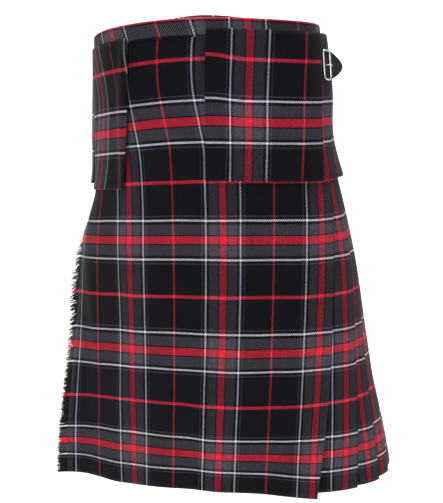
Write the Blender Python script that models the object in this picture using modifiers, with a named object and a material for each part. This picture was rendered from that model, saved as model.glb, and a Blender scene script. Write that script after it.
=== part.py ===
"""A tartan kilt with an upper fold, in its worn form, open and hollow at the waist and the hem.

The wearer faces -Y. +X is the wearer's left, where the pleats begin, and -X is the fringed side.
The origin is the middle of the waist at the level of the top edge. All sizes are in metres.

The body of the kilt is a set of level rings, from the waist down to the hem. Cloth is laid on the
rings by two cloth sizes: "along" is the distance round the body from the middle of the front,
towards the wearer's left, and "down" is the distance from the top edge along the cloth.
"""
import math

import bmesh
import bpy
import numpy as np

# Driving sizes
CLOTH_LENGTH = 0.610
WALL = 0.0011
LAYER = 0.0018
APRON_FRINGE_EDGE = -0.2455
APRON_TURN_UNDER = 0.050
APRON_HEM_FROM = 0.505
TURN_PARTS = 5
PLEATS = 20
PLEAT_DEPTH_SHARE = 0.60
HEM_LAYER = 0.0040
PLEATS_OPEN_AT = 0.120
LAST_PLEAT_COVER = 0.010
LAST_PLEAT_SINK = 0.0033
UNDER_APRON_SINK = 0.0099
UNDER_APRON_SINK_HEM = 0.0130
UNDER_APRON_HEM_LIFT = 0.011
UNDER_APRON_PARTS = 16
UNDER_APRON_END = 0.118

BAND_DEPTH = 0.021
BAND_OUT = 0.0022
BAND_IN = -0.0122
BAND_CORNER = 0.0014
BAND_STEP = 0.0105
BAND_END_GAP = 0.003

FLAP_TOP = 0.0115
FLAP_BOTTOM = 0.190
FLAP_OUT = 0.0060
FLAP_FLARE = -0.0008
FLAP_LAYER = 0.0018
FLAP_FOLD_EDGE = 0.1280
FLAP_FOLD_LEAN = -0.006
FLAP_RIGHT_EDGE = -0.008
FLAP_LEFT_EDGE = -0.102
FLAP_EDGE_LEAN = -0.011
FLAP_LEFT_LEAN = -0.027
FLAP_LEFT_CURVE = 1.8
STRAP_ROOM = 0.0042
PANEL_OUT = 0.0038
LAST_FLAP_SINK = 0.0018
FLAP_DROP_TOP = 0.004
FLAP_DROP_HEM = 0.009
FLAP_DROP_RUN = 0.050

FRINGE_TOP = 0.197
FRINGE_STRANDS = 115
FRINGE_STRIP = 0.005
FRINGE_LENGTH = 0.0094
FRINGE_LENGTH_VARIES = 0.0036
FRINGE_SAG = 0.0022
FRINGE_SAG_VARIES = 0.0016
FRINGE_LIFT = 0.0022
FRINGE_LIFT_VARIES = 0.0014
FRINGE_TAPER = 0.86
SEAM_GAP = 0.0004

# Level rings, from the top edge down. The squareness is the power of the ring's curve in each front
# quarter: 2 is an ellipse, more is boxier, less is nearer to a straight panel with a corner.
SECTION_COLUMNS = ("level", "fringe_half", "pleat_half", "front_depth", "back_depth", "centre_x", "turn",
                   "fringe_square", "pleat_square")
SECTIONS = (
    (0.000, 0.147, 0.133, 0.116, 0.104, -0.014, 1.5, 2.40, 3.2),
    (0.090, 0.153, 0.141, 0.124, 0.118, -0.009, 1.0, 2.30, 3.5),
    (0.150, 0.158, 0.141, 0.126, 0.129, -0.006, 1.6, 2.15, 3.6),
    (0.200, 0.162, 0.154, 0.127, 0.137, -0.004, 2.0, 1.88, 3.6),
    (0.300, 0.181, 0.178, 0.131, 0.148, -0.002, 2.0, 1.72, 3.5),
    (0.430, 0.194, 0.203, 0.138, 0.158, -0.003, 1.5, 1.44, 3.0),
    (0.610, 0.224, 0.247, 0.139, 0.168, -0.005, 0.0, 1.20, 2.5),
    (0.700, 0.229, 0.262, 0.141, 0.170, -0.005, 0.0, 1.18, 2.4),
)
BACK_SQUARE = 2.2

# How far the cloth's threads hang below the level of the front, at the two sides and the back
DROOP_COLUMNS = ("down", "apron_fringe_side", "fringe_side", "pleat_side", "back")
DROOPS = (
    (0.000, 0.028, 0.028, 0.014, 0.000),
    (0.090, 0.034, 0.030, 0.012, 0.002),
    (0.190, 0.030, 0.028, 0.011, 0.006),
    (0.300, 0.031, 0.026, 0.010, 0.010),
    (0.430, 0.040, 0.028, 0.011, 0.012),
    (0.610, 0.049, 0.032, 0.011, 0.014),
)

# Soft folds of the worn cloth: where each runs at the top and the hem, its half width, and how far
# it stands out there
FOLD_COLUMNS = ("along_top", "along_hem", "half_width", "out_top", "out_hem")
FOLDS = (
    (-0.200, -0.196, 0.026, 0.002, 0.000),
    (-0.095, -0.080, 0.045, 0.000, 0.003),
    (0.060, 0.075, 0.045, 0.000, 0.003),
)
APRON_FLARE = ((-0.252, -0.264, 0.030, 0.004, 0.024),)
FOLDS_BEGIN = 0.200
FOLDS_GROW_OVER = 0.060

# The front apron's hem is uneven: how much lower it hangs than the rest, round the body
HEM_COLUMNS = ("along", "lower")
APRON_HEM = ((-0.2455, -0.0115), (-0.150, -0.0010), (0.000, -0.0070), (0.060, -0.0050), (0.135, 0.0080))

# Where the front apron's folded edge lies, and how much further round than an even spacing the folded
# edges of the first pleats lie
PLEAT_COLUMNS = ("down", "apron_edge", "pleat_1", "pleat_2", "pleat_3", "pleat_4")
FIRST_PLEATS = (
    (0.000, 0.1450, 0.0010, 0.0000, 0.0000, 0.0000),
    (0.200, 0.1450, 0.0020, 0.0000, 0.0000, 0.0000),
    (0.350, 0.1442, 0.0067, -0.0010, 0.0000, 0.0000),
    (0.450, 0.1425, 0.0100, 0.0010, 0.0000, 0.0000),
    (0.530, 0.1396, 0.0130, 0.0080, 0.0030, 0.0010),
    (0.610, 0.1330, 0.0185, 0.0200, 0.0115, 0.0050),
)

# Leather strap and buckle at the wearer's left hip. Distances are from the front panel's fold edge.
STRAP_DOWN = 0.0490
STRAP_OUT = 0.0082
STRAP_STAND_OFF = 0.14
STRAP_WIDTH = 0.033
STRAP_THICK = 0.0024
STRAP_START = -0.011
STRAP_FALL = 0.12
STRAP_TIP_START = 0.0245
STRAP_TIP_END = 0.0455
STRAP_TIP_POWER = 0.55
STRAP_TIP_STEP = 0.0030
STRAP_TIP_SHARE = 0.14
BUCKLE_MIDDLE = 0.0136
BUCKLE_WIDTH = 0.0120
BUCKLE_HEIGHT = 0.0345
BUCKLE_CORNER = 0.0040
BUCKLE_BAR = 0.0028
PRONG_BAR = 0.0018
TAB_THICK = 0.0015
TAB_WIDTH = 0.030
TAB_COLUMNS = ("distance", "out")
TAB = ((0.0175, 0.0099), (0.0215, 0.0107), (0.0300, 0.0113), (0.0400, 0.0113), (0.0500, 0.0113))
REST_GAP = 0.0003

RING_POINTS = 240
RING_SOFTENING = 26
LEVEL_STEP = 0.010
BODY_ROWS = (0.003, 0.060, 0.125, 0.190, 0.240, 0.310, 0.400, 0.505, 0.610)
FLAP_ROWS = (0.0115, 0.060, 0.125, 0.190)
APRON_PARTS = 15
FLAP_STEP = 0.0165
FLAP_PARTS = 10

TARTAN_BLACK = (0.010, 0.010, 0.014, 1.0)
TARTAN_GREY = (0.045, 0.046, 0.054, 1.0)
LEATHER_BLACK = (0.012, 0.012, 0.013, 1.0)
CHROME = (0.62, 0.62, 0.65, 1.0)


def clear_scene():
    for thing in list(bpy.data.objects):
        bpy.data.objects.remove(thing, do_unlink=True)


def material(name, colour, roughness, metallic=0.0):
    made = bpy.data.materials.new(name)
    made.use_nodes = True
    shader = made.node_tree.nodes["Principled BSDF"]
    shader.inputs["Base Color"].default_value = colour
    shader.inputs["Roughness"].default_value = roughness
    shader.inputs["Metallic"].default_value = metallic
    made.diffuse_color = colour
    return made


def read_column(rows, columns, name, at):
    """A smooth curve through one column of a table, read against its first column."""
    x = np.array([row[0] for row in rows])
    y = np.array([row[columns.index(name)] for row in rows])
    slope = np.gradient(y, x)
    at = np.clip(np.asarray(at, dtype=float), x[0], x[-1])
    i = np.clip(np.searchsorted(x, at, side="right") - 1, 0, len(x) - 2)
    span = x[i + 1] - x[i]
    t = (at - x[i]) / span
    return ((2 * t**3 - 3 * t**2 + 1) * y[i] + (t**3 - 2 * t**2 + t) * span * slope[i]
            + (3 * t**2 - 2 * t**3) * y[i + 1] + (t**3 - t**2) * span * slope[i + 1])


def even_ring(points):
    """The closed outline's points, spread evenly, the first at the middle of the front."""
    closed = np.vstack([points, points[:1]])
    reach = np.concatenate([[0.0], np.cumsum(np.linalg.norm(np.diff(closed, axis=0), axis=1))])
    at = np.linspace(0.0, reach[-1], RING_POINTS, endpoint=False)
    return np.column_stack([np.interp(at, reach, closed[:, k]) for k in (0, 1)]), reach[-1]


def make_ring(level):
    size = {name: float(read_column(SECTIONS, SECTION_COLUMNS, name, level)) for name in SECTION_COLUMNS[1:]}
    turn = np.linspace(0.0, 2.0 * math.pi, 2 * RING_POINTS, endpoint=False)
    sine, cosine = np.sin(turn), np.cos(turn)
    front = cosine > 0.0
    square = np.where(front, np.where(sine < 0.0, size["fringe_square"], size["pleat_square"]), BACK_SQUARE)
    depth = np.where(front, size["front_depth"], size["back_depth"])
    half = np.where(sine < 0.0, size["fringe_half"], size["pleat_half"])
    x = half * np.sign(sine) * np.abs(sine) ** (2.0 / square)
    y = -depth * np.sign(cosine) * np.abs(cosine) ** (2.0 / square)
    angle = math.radians(size["turn"])
    ring = np.column_stack([x * math.cos(angle) - y * math.sin(angle) + size["centre_x"],
                            x * math.sin(angle) + y * math.cos(angle)])
    ring, _ = even_ring(ring)
    for _ in range(RING_SOFTENING):
        ring = (np.roll(ring, 1, axis=0) + 2.0 * ring + np.roll(ring, -1, axis=0)) / 4.0
    return even_ring(ring)


LEVELS = np.arange(0.0, 0.7001, LEVEL_STEP)
RINGS = [make_ring(level) for level in LEVELS]
GIRTHS = np.array([girth for _, girth in RINGS])
FRONT_LINE = np.array([ring[0, 1] for ring, _ in RINGS])
DOWN_AT_LEVEL = np.concatenate([[0.0], np.cumsum(np.hypot(np.diff(LEVELS), np.diff(FRONT_LINE)))])


def girth(down):
    return float(np.interp(down, DOWN_AT_LEVEL, GIRTHS))


def droop(along, down, fringe_side):
    """How far below the front a thread of the cloth hangs, round the body."""
    turn = 2.0 * math.pi * along / girth(down)
    turn = (turn + math.pi) % (2.0 * math.pi) - math.pi
    side = fringe_side if turn < 0.0 else "pleat_side"
    at_side = float(read_column(DROOPS, DROOP_COLUMNS, side, down))
    if abs(turn) <= math.pi / 2.0:
        return at_side * (1.0 - math.cos(turn))
    at_back = float(read_column(DROOPS, DROOP_COLUMNS, "back", down))
    t = abs(turn) / (math.pi / 2.0) - 1.0
    return ((2 * t**3 - 3 * t**2 + 1) * at_side + (t**3 - 2 * t**2 + t) * at_side * math.pi / 2.0
            + (3 * t**2 - 2 * t**3) * at_back)


def ease(share):
    share = min(max(share, 0.0), 1.0)
    return share * share * (3.0 - 2.0 * share)


def soft_folds(along, down, folds):
    """How far the worn cloth's folds stand out from the rings."""
    total_girth = girth(down)
    if along > total_girth / 2.0:
        along -= total_girth
    share = min(max((down - FOLDS_BEGIN) / (CLOTH_LENGTH - FOLDS_BEGIN), 0.0), 1.0)
    out = 0.0
    for row in folds:
        fold = dict(zip(FOLD_COLUMNS, row))
        middle = fold["along_top"] + (fold["along_hem"] - fold["along_top"]) * share
        height = fold["out_top"] + (fold["out_hem"] - fold["out_top"]) * share
        out += height * math.exp(-(((along - middle) / fold["half_width"]) ** 2))
    return out * ease((down - FOLDS_BEGIN) / FOLDS_GROW_OVER)


def ring_point(along, level, cloth_girth):
    """A point and its outward direction in plan, on the ring at one level.

    A ring lower down is longer than the cloth's own girth there. The back takes up the difference.
    """
    share = ease(2.0 * along / cloth_girth - 0.5)
    place = min(max(level / LEVEL_STEP, 0.0), len(LEVELS) - 1.001)
    i = int(place)
    part = place - i
    point = np.zeros(2)
    tangent = np.zeros(2)
    for (ring, ring_girth), weight in ((RINGS[i], 1.0 - part), (RINGS[i + 1], part)):
        step = ring_girth / RING_POINTS
        at = ((along + (ring_girth - cloth_girth) * share) / step) % RING_POINTS
        k = int(at)
        f = at - k
        here, after = ring[k % RING_POINTS], ring[(k + 1) % RING_POINTS]
        before, further = ring[(k - 1) % RING_POINTS], ring[(k + 2) % RING_POINTS]
        point += weight * (here * (1.0 - f) + after * f)
        tangent += weight * ((after - before) * (1.0 - f) + (further - here) * f)
    tangent /= np.linalg.norm(tangent)
    return point, np.array([tangent[1], -tangent[0]])


def cloth_point(along, down, out, fringe_side="fringe_side", folds=FOLDS):
    """The place in space of a point of the cloth, laid "out" metres outside the rings."""
    level = float(np.interp(down, DOWN_AT_LEVEL, LEVELS)) + droop(along, down, fringe_side)
    point, outward = ring_point(along, level, girth(down))
    point = point + outward * (out + soft_folds(along, down, folds))
    return (float(point[0]), float(point[1]), -level)


def apron_point(along, down, out):
    """A point of the front apron, which flares at its fringed edge and hangs unevenly at its hem."""
    lower = float(read_column(APRON_HEM, HEM_COLUMNS, "lower", along))
    hung = down + lower * ease((down - APRON_HEM_FROM) / (CLOTH_LENGTH - APRON_HEM_FROM))
    return cloth_point(along, hung, out, "apron_fringe_side", FOLDS + APRON_FLARE)


def apron_wall_point(along, down, out):
    """A point of the front apron between two of its rows, straight from one to the next as its wall is."""
    lower = min(range(len(BODY_ROWS)), key=lambda i: (BODY_ROWS[i] < down, BODY_ROWS[i]))
    lower = max(lower, 1)
    above, below = BODY_ROWS[lower - 1], BODY_ROWS[lower]
    share = (down - above) / (below - above)
    a = apron_point(along, above, out)
    b = apron_point(along, below, out)
    return tuple(p + (q - p) * share for p, q in zip(a, b))


def runs_back(a, b):
    """Whether the cloth runs backwards round the body there, so that all layers share their diagonals."""
    return a[0] * b[1] - a[1] * b[0] < 0.0


def add_wall(name, rows, made_of, collection, thickness=WALL):
    """A wall of even thickness through rows of points, as a lofted sheet with a Solidify modifier."""
    mesh = bpy.data.meshes.new(name)
    across = len(rows[0])
    points = [point for row in rows for point in row]
    faces = []
    for r in range(len(rows) - 1):
        for c in range(across - 1):
            a = r * across + c
            cell = (a, a + across, a + across + 1, a + 1)
            if runs_back(points[a], points[a + 1]):
                cell = cell[1:] + cell[:1]
            faces.append(cell)
    mesh.from_pydata(points, [], faces)
    mesh.materials.append(made_of)
    mesh.shade_smooth()
    piece = bpy.data.objects.new(name, mesh)
    collection.objects.link(piece)
    solid = piece.modifiers.new("cloth thickness", "SOLIDIFY")
    solid.thickness = thickness
    solid.offset = 0.0
    return piece


def spread(start, end, step):
    count = max(2, int(round(abs(end - start) / step)) + 1)
    return [start + (end - start) * i / (count - 1) for i in range(count)]


def turn_parts(edge):
    return [edge - APRON_TURN_UNDER * (1.0 - i / TURN_PARTS) for i in range(TURN_PARTS)]


def turned_edge(edge, high, layer):
    """The cloth's run up to a folded edge and back under itself, as (along, out)."""
    parts = turn_parts(edge)
    path = [(along, high) for along in parts] + [(edge - layer / 2.0, high), (edge, high - layer / 2.0)]
    return path + [(edge - layer / 2.0, high - layer)] + [(along, high - layer) for along in reversed(parts)]


def layer_at(down, share_back):
    """Distance between a pleat's layers: tight at the waist, open at the hem and at the back."""
    opening = max(0.0, (down - PLEATS_OPEN_AT) / (CLOTH_LENGTH - PLEATS_OPEN_AT)) ** 1.5
    middle = math.sin(math.pi * min(max(share_back, 0.0), 1.0)) ** 0.5
    return LAYER + (HEM_LAYER - LAYER) * opening * middle


def apron_fold_edge(down):
    return float(read_column(FIRST_PLEATS, PLEAT_COLUMNS, "apron_edge", down))


def fold_lines(down, first):
    """Where the pleats' folded edges lie round the body, from the front panel's fold edge on."""
    last = girth(down) + APRON_FRINGE_EDGE + LAST_PLEAT_COVER
    lines = [first + (last - first) * k / PLEATS for k in range(PLEATS + 1)]
    for k in range(1, len(PLEAT_COLUMNS) - 1):
        lines[k] += float(read_column(FIRST_PLEATS, PLEAT_COLUMNS, f"pleat_{k}", down))
    return lines


def pleat_path(lines, first, last, base, layer_of, sink_last=0.0):
    """One level of the pleats numbered first to last, as (along, out) from the front backwards.

    Each pleat is a panel that comes out from under the fold before it, runs on to its own folded
    edge, turns back under itself and turns again to become the next panel.
    """
    path = []
    for k in range(first, last + 1):
        before, edge = lines[k - 1], lines[k]
        reveal = edge - before
        depth = PLEAT_DEPTH_SHARE * reveal
        sink_before = sink_last if k - 1 == PLEATS else 0.0
        sink = sink_last if k == PLEATS else 0.0
        layer_before, layer = layer_of(k - 1), layer_of(k)
        low = base - 2.0 * layer_before - sink_before
        high = base - sink
        slope = (high - low) / reveal
        if k == 1:
            path += [(along, low) for along in turn_parts(before)]
        else:
            start = before - depth
            path.append((start + layer_before / 2.0, low - slope * depth))
        path.append((before, low))
        path.append((edge - depth, high - slope * depth))
        path.append((edge - layer / 2.0, high))
        path.append((edge, high - layer / 2.0))
        path.append((edge - layer / 2.0, high - layer))
        path.append((edge - depth + layer / 2.0, high - layer - slope * depth))
        if k < last:
            path.append((edge - depth, high - layer * 1.5 - slope * depth))
    return path


def body_layers(down):
    return lambda k: layer_at(down, k / PLEATS)


def make_over_apron(cloth, collection):
    rows = []
    for down in BODY_ROWS:
        start = APRON_FRINGE_EDGE + FRINGE_STRIP + SEAM_GAP
        edge = apron_fold_edge(down)
        turn = edge - APRON_TURN_UNDER
        row = [(along, 0.0) for along in spread(start, turn, (turn - start) / APRON_PARTS)]
        row = row[:-1] + turned_edge(edge, 0.0, LAYER)
        rows.append([apron_point(along, down, out) for along, out in row])
    return add_wall("over_apron", rows, cloth, collection)


def make_under_apron(cloth, collection):
    rows = []
    for down in BODY_ROWS:
        lines = fold_lines(down, apron_fold_edge(down))
        start = lines[PLEATS] - girth(down) - PLEAT_DEPTH_SHARE * (lines[PLEATS] - lines[PLEATS - 1])
        sink = UNDER_APRON_SINK + (UNDER_APRON_SINK_HEM - UNDER_APRON_SINK) * down / CLOTH_LENGTH
        hang = min(down, CLOTH_LENGTH - UNDER_APRON_HEM_LIFT)
        step = (UNDER_APRON_END - start) / UNDER_APRON_PARTS
        rows.append([cloth_point(along, hang, -sink) for along in spread(start, UNDER_APRON_END, step)])
    return add_wall("under_apron", rows, cloth, collection)


def make_pleats(name, first, last, cloth, collection):
    rows = []
    for down in BODY_ROWS:
        lines = fold_lines(down, apron_fold_edge(down))
        path = pleat_path(lines, first, last, 0.0, body_layers(down), LAST_PLEAT_SINK)
        rows.append([cloth_point(along, down, out) for along, out in path])
    return add_wall(name, rows, cloth, collection)


def make_waistband(cloth, collection):
    """A strip folded over the top edge, from the fringed edge right round to it again."""
    section = ((BAND_DEPTH, BAND_OUT), (BAND_DEPTH / 2.0, BAND_OUT), (BAND_CORNER, BAND_OUT),
               (0.0, BAND_OUT - BAND_CORNER), (0.0, BAND_IN + BAND_CORNER), (BAND_CORNER, BAND_IN),
               (BAND_DEPTH - BAND_CORNER, BAND_IN))
    around = spread(APRON_FRINGE_EDGE, girth(0.0) + APRON_FRINGE_EDGE - BAND_END_GAP, BAND_STEP)
    rows = [[cloth_point(along, down, out, folds=()) for along in around] for down, out in section]
    return add_wall("waistband", rows, cloth, collection)


def flap_share(down):
    return (down - FLAP_TOP) / (FLAP_BOTTOM - FLAP_TOP)


def flap_out(down):
    """How far outside the rings the upper fold's first layer hangs."""
    return FLAP_OUT + FLAP_FLARE * flap_share(down)


def flap_fold_edge(down):
    return FLAP_FOLD_EDGE + FLAP_FOLD_LEAN * flap_share(down)


def make_flap_front_left(cloth, collection):
    """The front panel of the upper fold on the wearer's left, with its edge turned under.

    Near its fold edge it stands off the side pleats by the room that the leather strap takes.
    """
    rows = []
    for down in FLAP_ROWS:
        base = flap_out(down)
        high = base + 2.0 * FLAP_LAYER + STRAP_ROOM
        edge = flap_fold_edge(down)
        start = edge - APRON_TURN_UNDER
        free_edge = FLAP_RIGHT_EDGE + FLAP_EDGE_LEAN * flap_share(down)
        low = PANEL_OUT + (base - PANEL_OUT) * flap_share(down)
        row = []
        for along in spread(free_edge, start, FLAP_STEP):
            rise = (along - free_edge) / (start - free_edge)
            row.append((along, low + (high - low) * rise))
        row = row[:-1] + turned_edge(edge, high, FLAP_LAYER)
        rows.append([cloth_point(along, down, out, folds=()) for along, out in row])
    return add_wall("upper_fold_front_left", rows, cloth, collection)


def make_flap_pleats(name, first, last, cloth, collection):
    rows = []
    for down in FLAP_ROWS:
        base = flap_out(down) + 2.0 * FLAP_LAYER
        lines = fold_lines(down, flap_fold_edge(down))
        path = pleat_path(lines, first, last, base, lambda k: FLAP_LAYER)
        rows.append([cloth_point(along, down, out, folds=()) for along, out in path])
    return add_wall(name, rows, cloth, collection)


def make_flap_front_right(cloth, collection):
    """The plain panel of the upper fold on the fringed side, which hangs lower towards its free edge."""
    rows = []
    for down in FLAP_ROWS:
        lines = fold_lines(down, flap_fold_edge(down))
        start = lines[PLEATS] - girth(down) - PLEAT_DEPTH_SHARE * (lines[PLEATS] - lines[PLEATS - 1])
        free_edge = FLAP_LEFT_EDGE + FLAP_LEFT_LEAN * flap_share(down) ** FLAP_LEFT_CURVE
        drop = FLAP_DROP_TOP + (FLAP_DROP_HEM - FLAP_DROP_TOP) * flap_share(down)
        out = flap_out(down) - LAST_FLAP_SINK
        rows.append([cloth_point(along, down + drop * ease((along - start) / FLAP_DROP_RUN), out, folds=())
                     for along in spread(start, free_edge, (free_edge - start) / FLAP_PARTS)])
    return add_wall("upper_fold_front_right", rows, cloth, collection)


def make_fringe(yarn, collection):
    """The apron's frayed edge: a narrow woven strip with the loose thread ends standing off it."""
    divisions = 2 * FRINGE_STRANDS + 1
    downs = [FRINGE_TOP + (CLOTH_LENGTH - FRINGE_TOP) * i / divisions for i in range(divisions + 1)]
    body = bmesh.new()
    corners = []
    for down in downs:
        loop = []
        for along, out in ((APRON_FRINGE_EDGE + FRINGE_STRIP, WALL / 2.0), (APRON_FRINGE_EDGE, WALL / 2.0),
                           (APRON_FRINGE_EDGE, -WALL / 2.0), (APRON_FRINGE_EDGE + FRINGE_STRIP, -WALL / 2.0)):
            loop.append(body.verts.new(apron_wall_point(along, down, out)))
        corners.append(loop)
    edge_faces = []
    for i in range(divisions):
        upper, lower = corners[i], corners[i + 1]
        for k in range(4):
            m = (k + 1) % 4
            face = body.faces.new((upper[k], upper[m], lower[m], lower[k]))
            if k == 1:
                edge_faces.append(face)
    body.faces.new(list(reversed(corners[0])))
    body.faces.new(corners[-1])
    for i in range(1, divisions, 2):
        strand = (i - 1) // 2
        down = (downs[i] + downs[i + 1]) / 2.0
        length = FRINGE_LENGTH + FRINGE_LENGTH_VARIES * math.sin(1.7 * strand) * math.cos(0.61 * strand)
        sag = FRINGE_SAG + FRINGE_SAG_VARIES * math.sin(2.3 * strand + 0.4)
        sag = min(sag, FRINGE_SAG_VARIES + (CLOTH_LENGTH - down) / 2.0)
        away = FRINGE_LIFT + FRINGE_LIFT_VARIES * math.sin(1.1 * strand + 1.0)
        face = edge_faces[i]
        for part in (0.5, 1.0):
            made = bmesh.ops.extrude_discrete_faces(body, faces=[face])
            face = made["faces"][0]
            x, y, z = apron_wall_point(APRON_FRINGE_EDGE - length * part, down, away * part)
            middle = face.calc_center_median()
            for vertex in face.verts:
                off = (vertex.co - middle) * FRINGE_TAPER
                vertex.co = (x + off.x, y + off.y, z - sag * part * part + off.z)
    mesh = bpy.data.meshes.new("apron_fringe")
    bmesh.ops.recalc_face_normals(body, faces=body.faces)
    body.to_mesh(mesh)
    body.free()
    mesh.materials.append(yarn)
    piece = bpy.data.objects.new("apron_fringe", mesh)
    collection.objects.link(piece)
    return piece


def hip_place(distance, out, drop):
    """A point of the strap group, at a distance from the front panel's fold edge.

    Up to the edge the strap lies on the hip, and past it runs straight on and stands off the hip.
    """
    down = STRAP_DOWN + drop
    edge = flap_fold_edge(STRAP_DOWN)
    x, y, z = cloth_point(edge + min(distance, 0.0), down, STRAP_OUT + out, folds=())
    if distance > 0.0:
        _, outward = ring_point(edge, STRAP_DOWN, girth(STRAP_DOWN))
        heading = math.atan2(outward[1], outward[0]) + math.pi / 2.0 - STRAP_STAND_OFF
        x += distance * math.cos(heading)
        y += distance * math.sin(heading)
        z -= distance * STRAP_FALL
    return (x, y, z)


def make_strap(leather, collection):
    """The strap, from behind the front panel to its pointed tip, standing off the hip."""
    rows = []
    straight = [STRAP_START, STRAP_START / 2.0, 0.0, STRAP_TIP_START / 2.0, STRAP_TIP_START]
    for distance in straight + spread(STRAP_TIP_START, STRAP_TIP_END, STRAP_TIP_STEP)[1:]:
        half = STRAP_WIDTH / 2.0
        t = max(0.0, (distance - STRAP_TIP_START) / (STRAP_TIP_END - STRAP_TIP_START))
        half *= max((1.0 - t) ** STRAP_TIP_POWER, STRAP_TIP_SHARE)
        rows.append([hip_place(distance, 0.0, half * share) for share in (-1.0, -0.5, 0.0, 0.5, 1.0)])
    return add_wall("hip_strap", rows, leather, collection, STRAP_THICK)


def make_bar_loop(name, points, radius, metal, collection, closed):
    """A round bar through a list of points, as a curve with a bevel."""
    curve = bpy.data.curves.new(name, "CURVE")
    curve.dimensions = "3D"
    curve.bevel_depth = radius
    curve.bevel_resolution = 2
    curve.use_fill_caps = not closed
    line = curve.splines.new("POLY")
    line.points.add(len(points) - 1)
    for spot, point in zip(line.points, points):
        spot.co = (*point, 1.0)
    line.use_cyclic_u = closed
    curve.materials.append(metal)
    piece = bpy.data.objects.new(name, curve)
    collection.objects.link(piece)
    return piece


def make_buckle(metal, collection):
    """The buckle's frame with rounded corners, lying over the strap."""
    half_w, half_h = BUCKLE_WIDTH / 2.0, BUCKLE_HEIGHT / 2.0
    lift = (STRAP_THICK + BUCKLE_BAR) / 2.0 + REST_GAP
    points = []
    for sx, sz, start in ((1, 1, 0), (-1, 1, 90), (-1, -1, 180), (1, -1, 270)):
        for degrees in (0, 30, 60, 90):
            angle = math.radians(start + degrees)
            across = sx * (half_w - BUCKLE_CORNER) + BUCKLE_CORNER * math.cos(angle)
            drop = -(sz * (half_h - BUCKLE_CORNER) + BUCKLE_CORNER * math.sin(angle))
            points.append(hip_place(BUCKLE_MIDDLE + across, lift, drop))
    return make_bar_loop("hip_buckle_frame", points, BUCKLE_BAR / 2.0, metal, collection, True)


def make_prong(metal, collection):
    """The buckle's tongue, out of the strap's hole and resting on the frame's far bar."""
    rest = (STRAP_THICK + PRONG_BAR) / 2.0 + REST_GAP
    top = STRAP_THICK / 2.0 + BUCKLE_BAR + PRONG_BAR / 2.0 + 2.0 * REST_GAP
    half_w = BUCKLE_WIDTH / 2.0
    stations = ((-0.45 * half_w, rest), (0.10 * half_w, rest), (0.55 * half_w, (rest + top) / 2.0),
                (0.80 * half_w, top), (1.05 * half_w, top))
    points = [hip_place(BUCKLE_MIDDLE + across, out, 0.0) for across, out in stations]
    return make_bar_loop("hip_buckle_prong", points, PRONG_BAR / 2.0, metal, collection, False)


def make_tab(leather, collection):
    """The leather tab that holds the buckle, sewn on the side pleats under the strap."""
    rows = []
    for row in TAB:
        spot = dict(zip(TAB_COLUMNS, row))
        along = flap_fold_edge(STRAP_DOWN) + spot["distance"]
        rows.append([cloth_point(along, STRAP_DOWN + TAB_WIDTH / 2.0 * share, spot["out"], folds=())
                     for share in (-1.0, 0.0, 1.0)])
    return add_wall("hip_buckle_tab", rows, leather, collection, TAB_THICK)


def main():
    clear_scene()
    collection = bpy.data.collections.new("scottish_kilt")
    bpy.context.scene.collection.children.link(collection)
    cloth = material("tartan cloth", TARTAN_BLACK, 0.85)
    upper_cloth = material("tartan cloth of the upper fold", TARTAN_GREY, 0.85)
    yarn = material("frayed yarn", TARTAN_GREY, 0.9)
    leather = material("black strap leather", LEATHER_BLACK, 0.45)
    metal = material("chromed steel", CHROME, 0.15, 1.0)

    make_over_apron(cloth, collection)
    make_under_apron(cloth, collection)
    make_pleats("pleats_left_hip", 1, 7, cloth, collection)
    make_pleats("pleats_back", 8, 13, cloth, collection)
    make_pleats("pleats_right_hip", 14, PLEATS, cloth, collection)
    make_waistband(cloth, collection)
    make_flap_front_left(upper_cloth, collection)
    make_flap_pleats("upper_fold_left_back", 1, 10, upper_cloth, collection)
    make_flap_pleats("upper_fold_right_back", 11, PLEATS, upper_cloth, collection)
    make_flap_front_right(upper_cloth, collection)
    make_fringe(yarn, collection)
    make_strap(leather, collection)
    make_tab(leather, collection)
    make_buckle(metal, collection)
    make_prong(metal, collection)


main()
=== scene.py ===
"""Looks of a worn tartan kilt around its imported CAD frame: cloth, fringe, strap, buckle and stage.

The kilt's form is a set of level rings, and cloth is laid on them by two cloth sizes: "along", the
distance round the body from the middle of the front towards the wearer's left, and "down", the
distance from the top edge along the cloth. All sizes are in metres.
"""

import math

import bmesh
import bpy
import numpy as np
from bpy.props import FloatProperty, FloatVectorProperty, PointerProperty
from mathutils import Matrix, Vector


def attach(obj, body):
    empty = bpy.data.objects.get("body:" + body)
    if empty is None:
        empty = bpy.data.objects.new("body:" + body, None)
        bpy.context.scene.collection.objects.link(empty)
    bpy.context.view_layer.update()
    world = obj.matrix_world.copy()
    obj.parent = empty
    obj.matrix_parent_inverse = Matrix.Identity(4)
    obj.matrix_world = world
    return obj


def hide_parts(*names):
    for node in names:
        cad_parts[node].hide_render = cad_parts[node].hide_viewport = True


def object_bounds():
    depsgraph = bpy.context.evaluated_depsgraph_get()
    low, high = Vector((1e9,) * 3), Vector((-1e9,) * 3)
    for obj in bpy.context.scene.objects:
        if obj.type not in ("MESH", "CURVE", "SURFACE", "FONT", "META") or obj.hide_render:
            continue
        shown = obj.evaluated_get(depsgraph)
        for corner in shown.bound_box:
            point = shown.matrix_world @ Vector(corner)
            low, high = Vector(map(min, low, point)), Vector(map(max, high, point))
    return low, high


bl_info = {
    "name": "Tartan kilt",
    "version": (1, 0, 0),
    "blender": (4, 5, 0),
    "location": "3D View > Sidebar > Kilt",
    "description": "Dresses the frame of a tartan kilt with woven cloth, fringe, leather and metal",
    "category": "Object",
}

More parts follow.
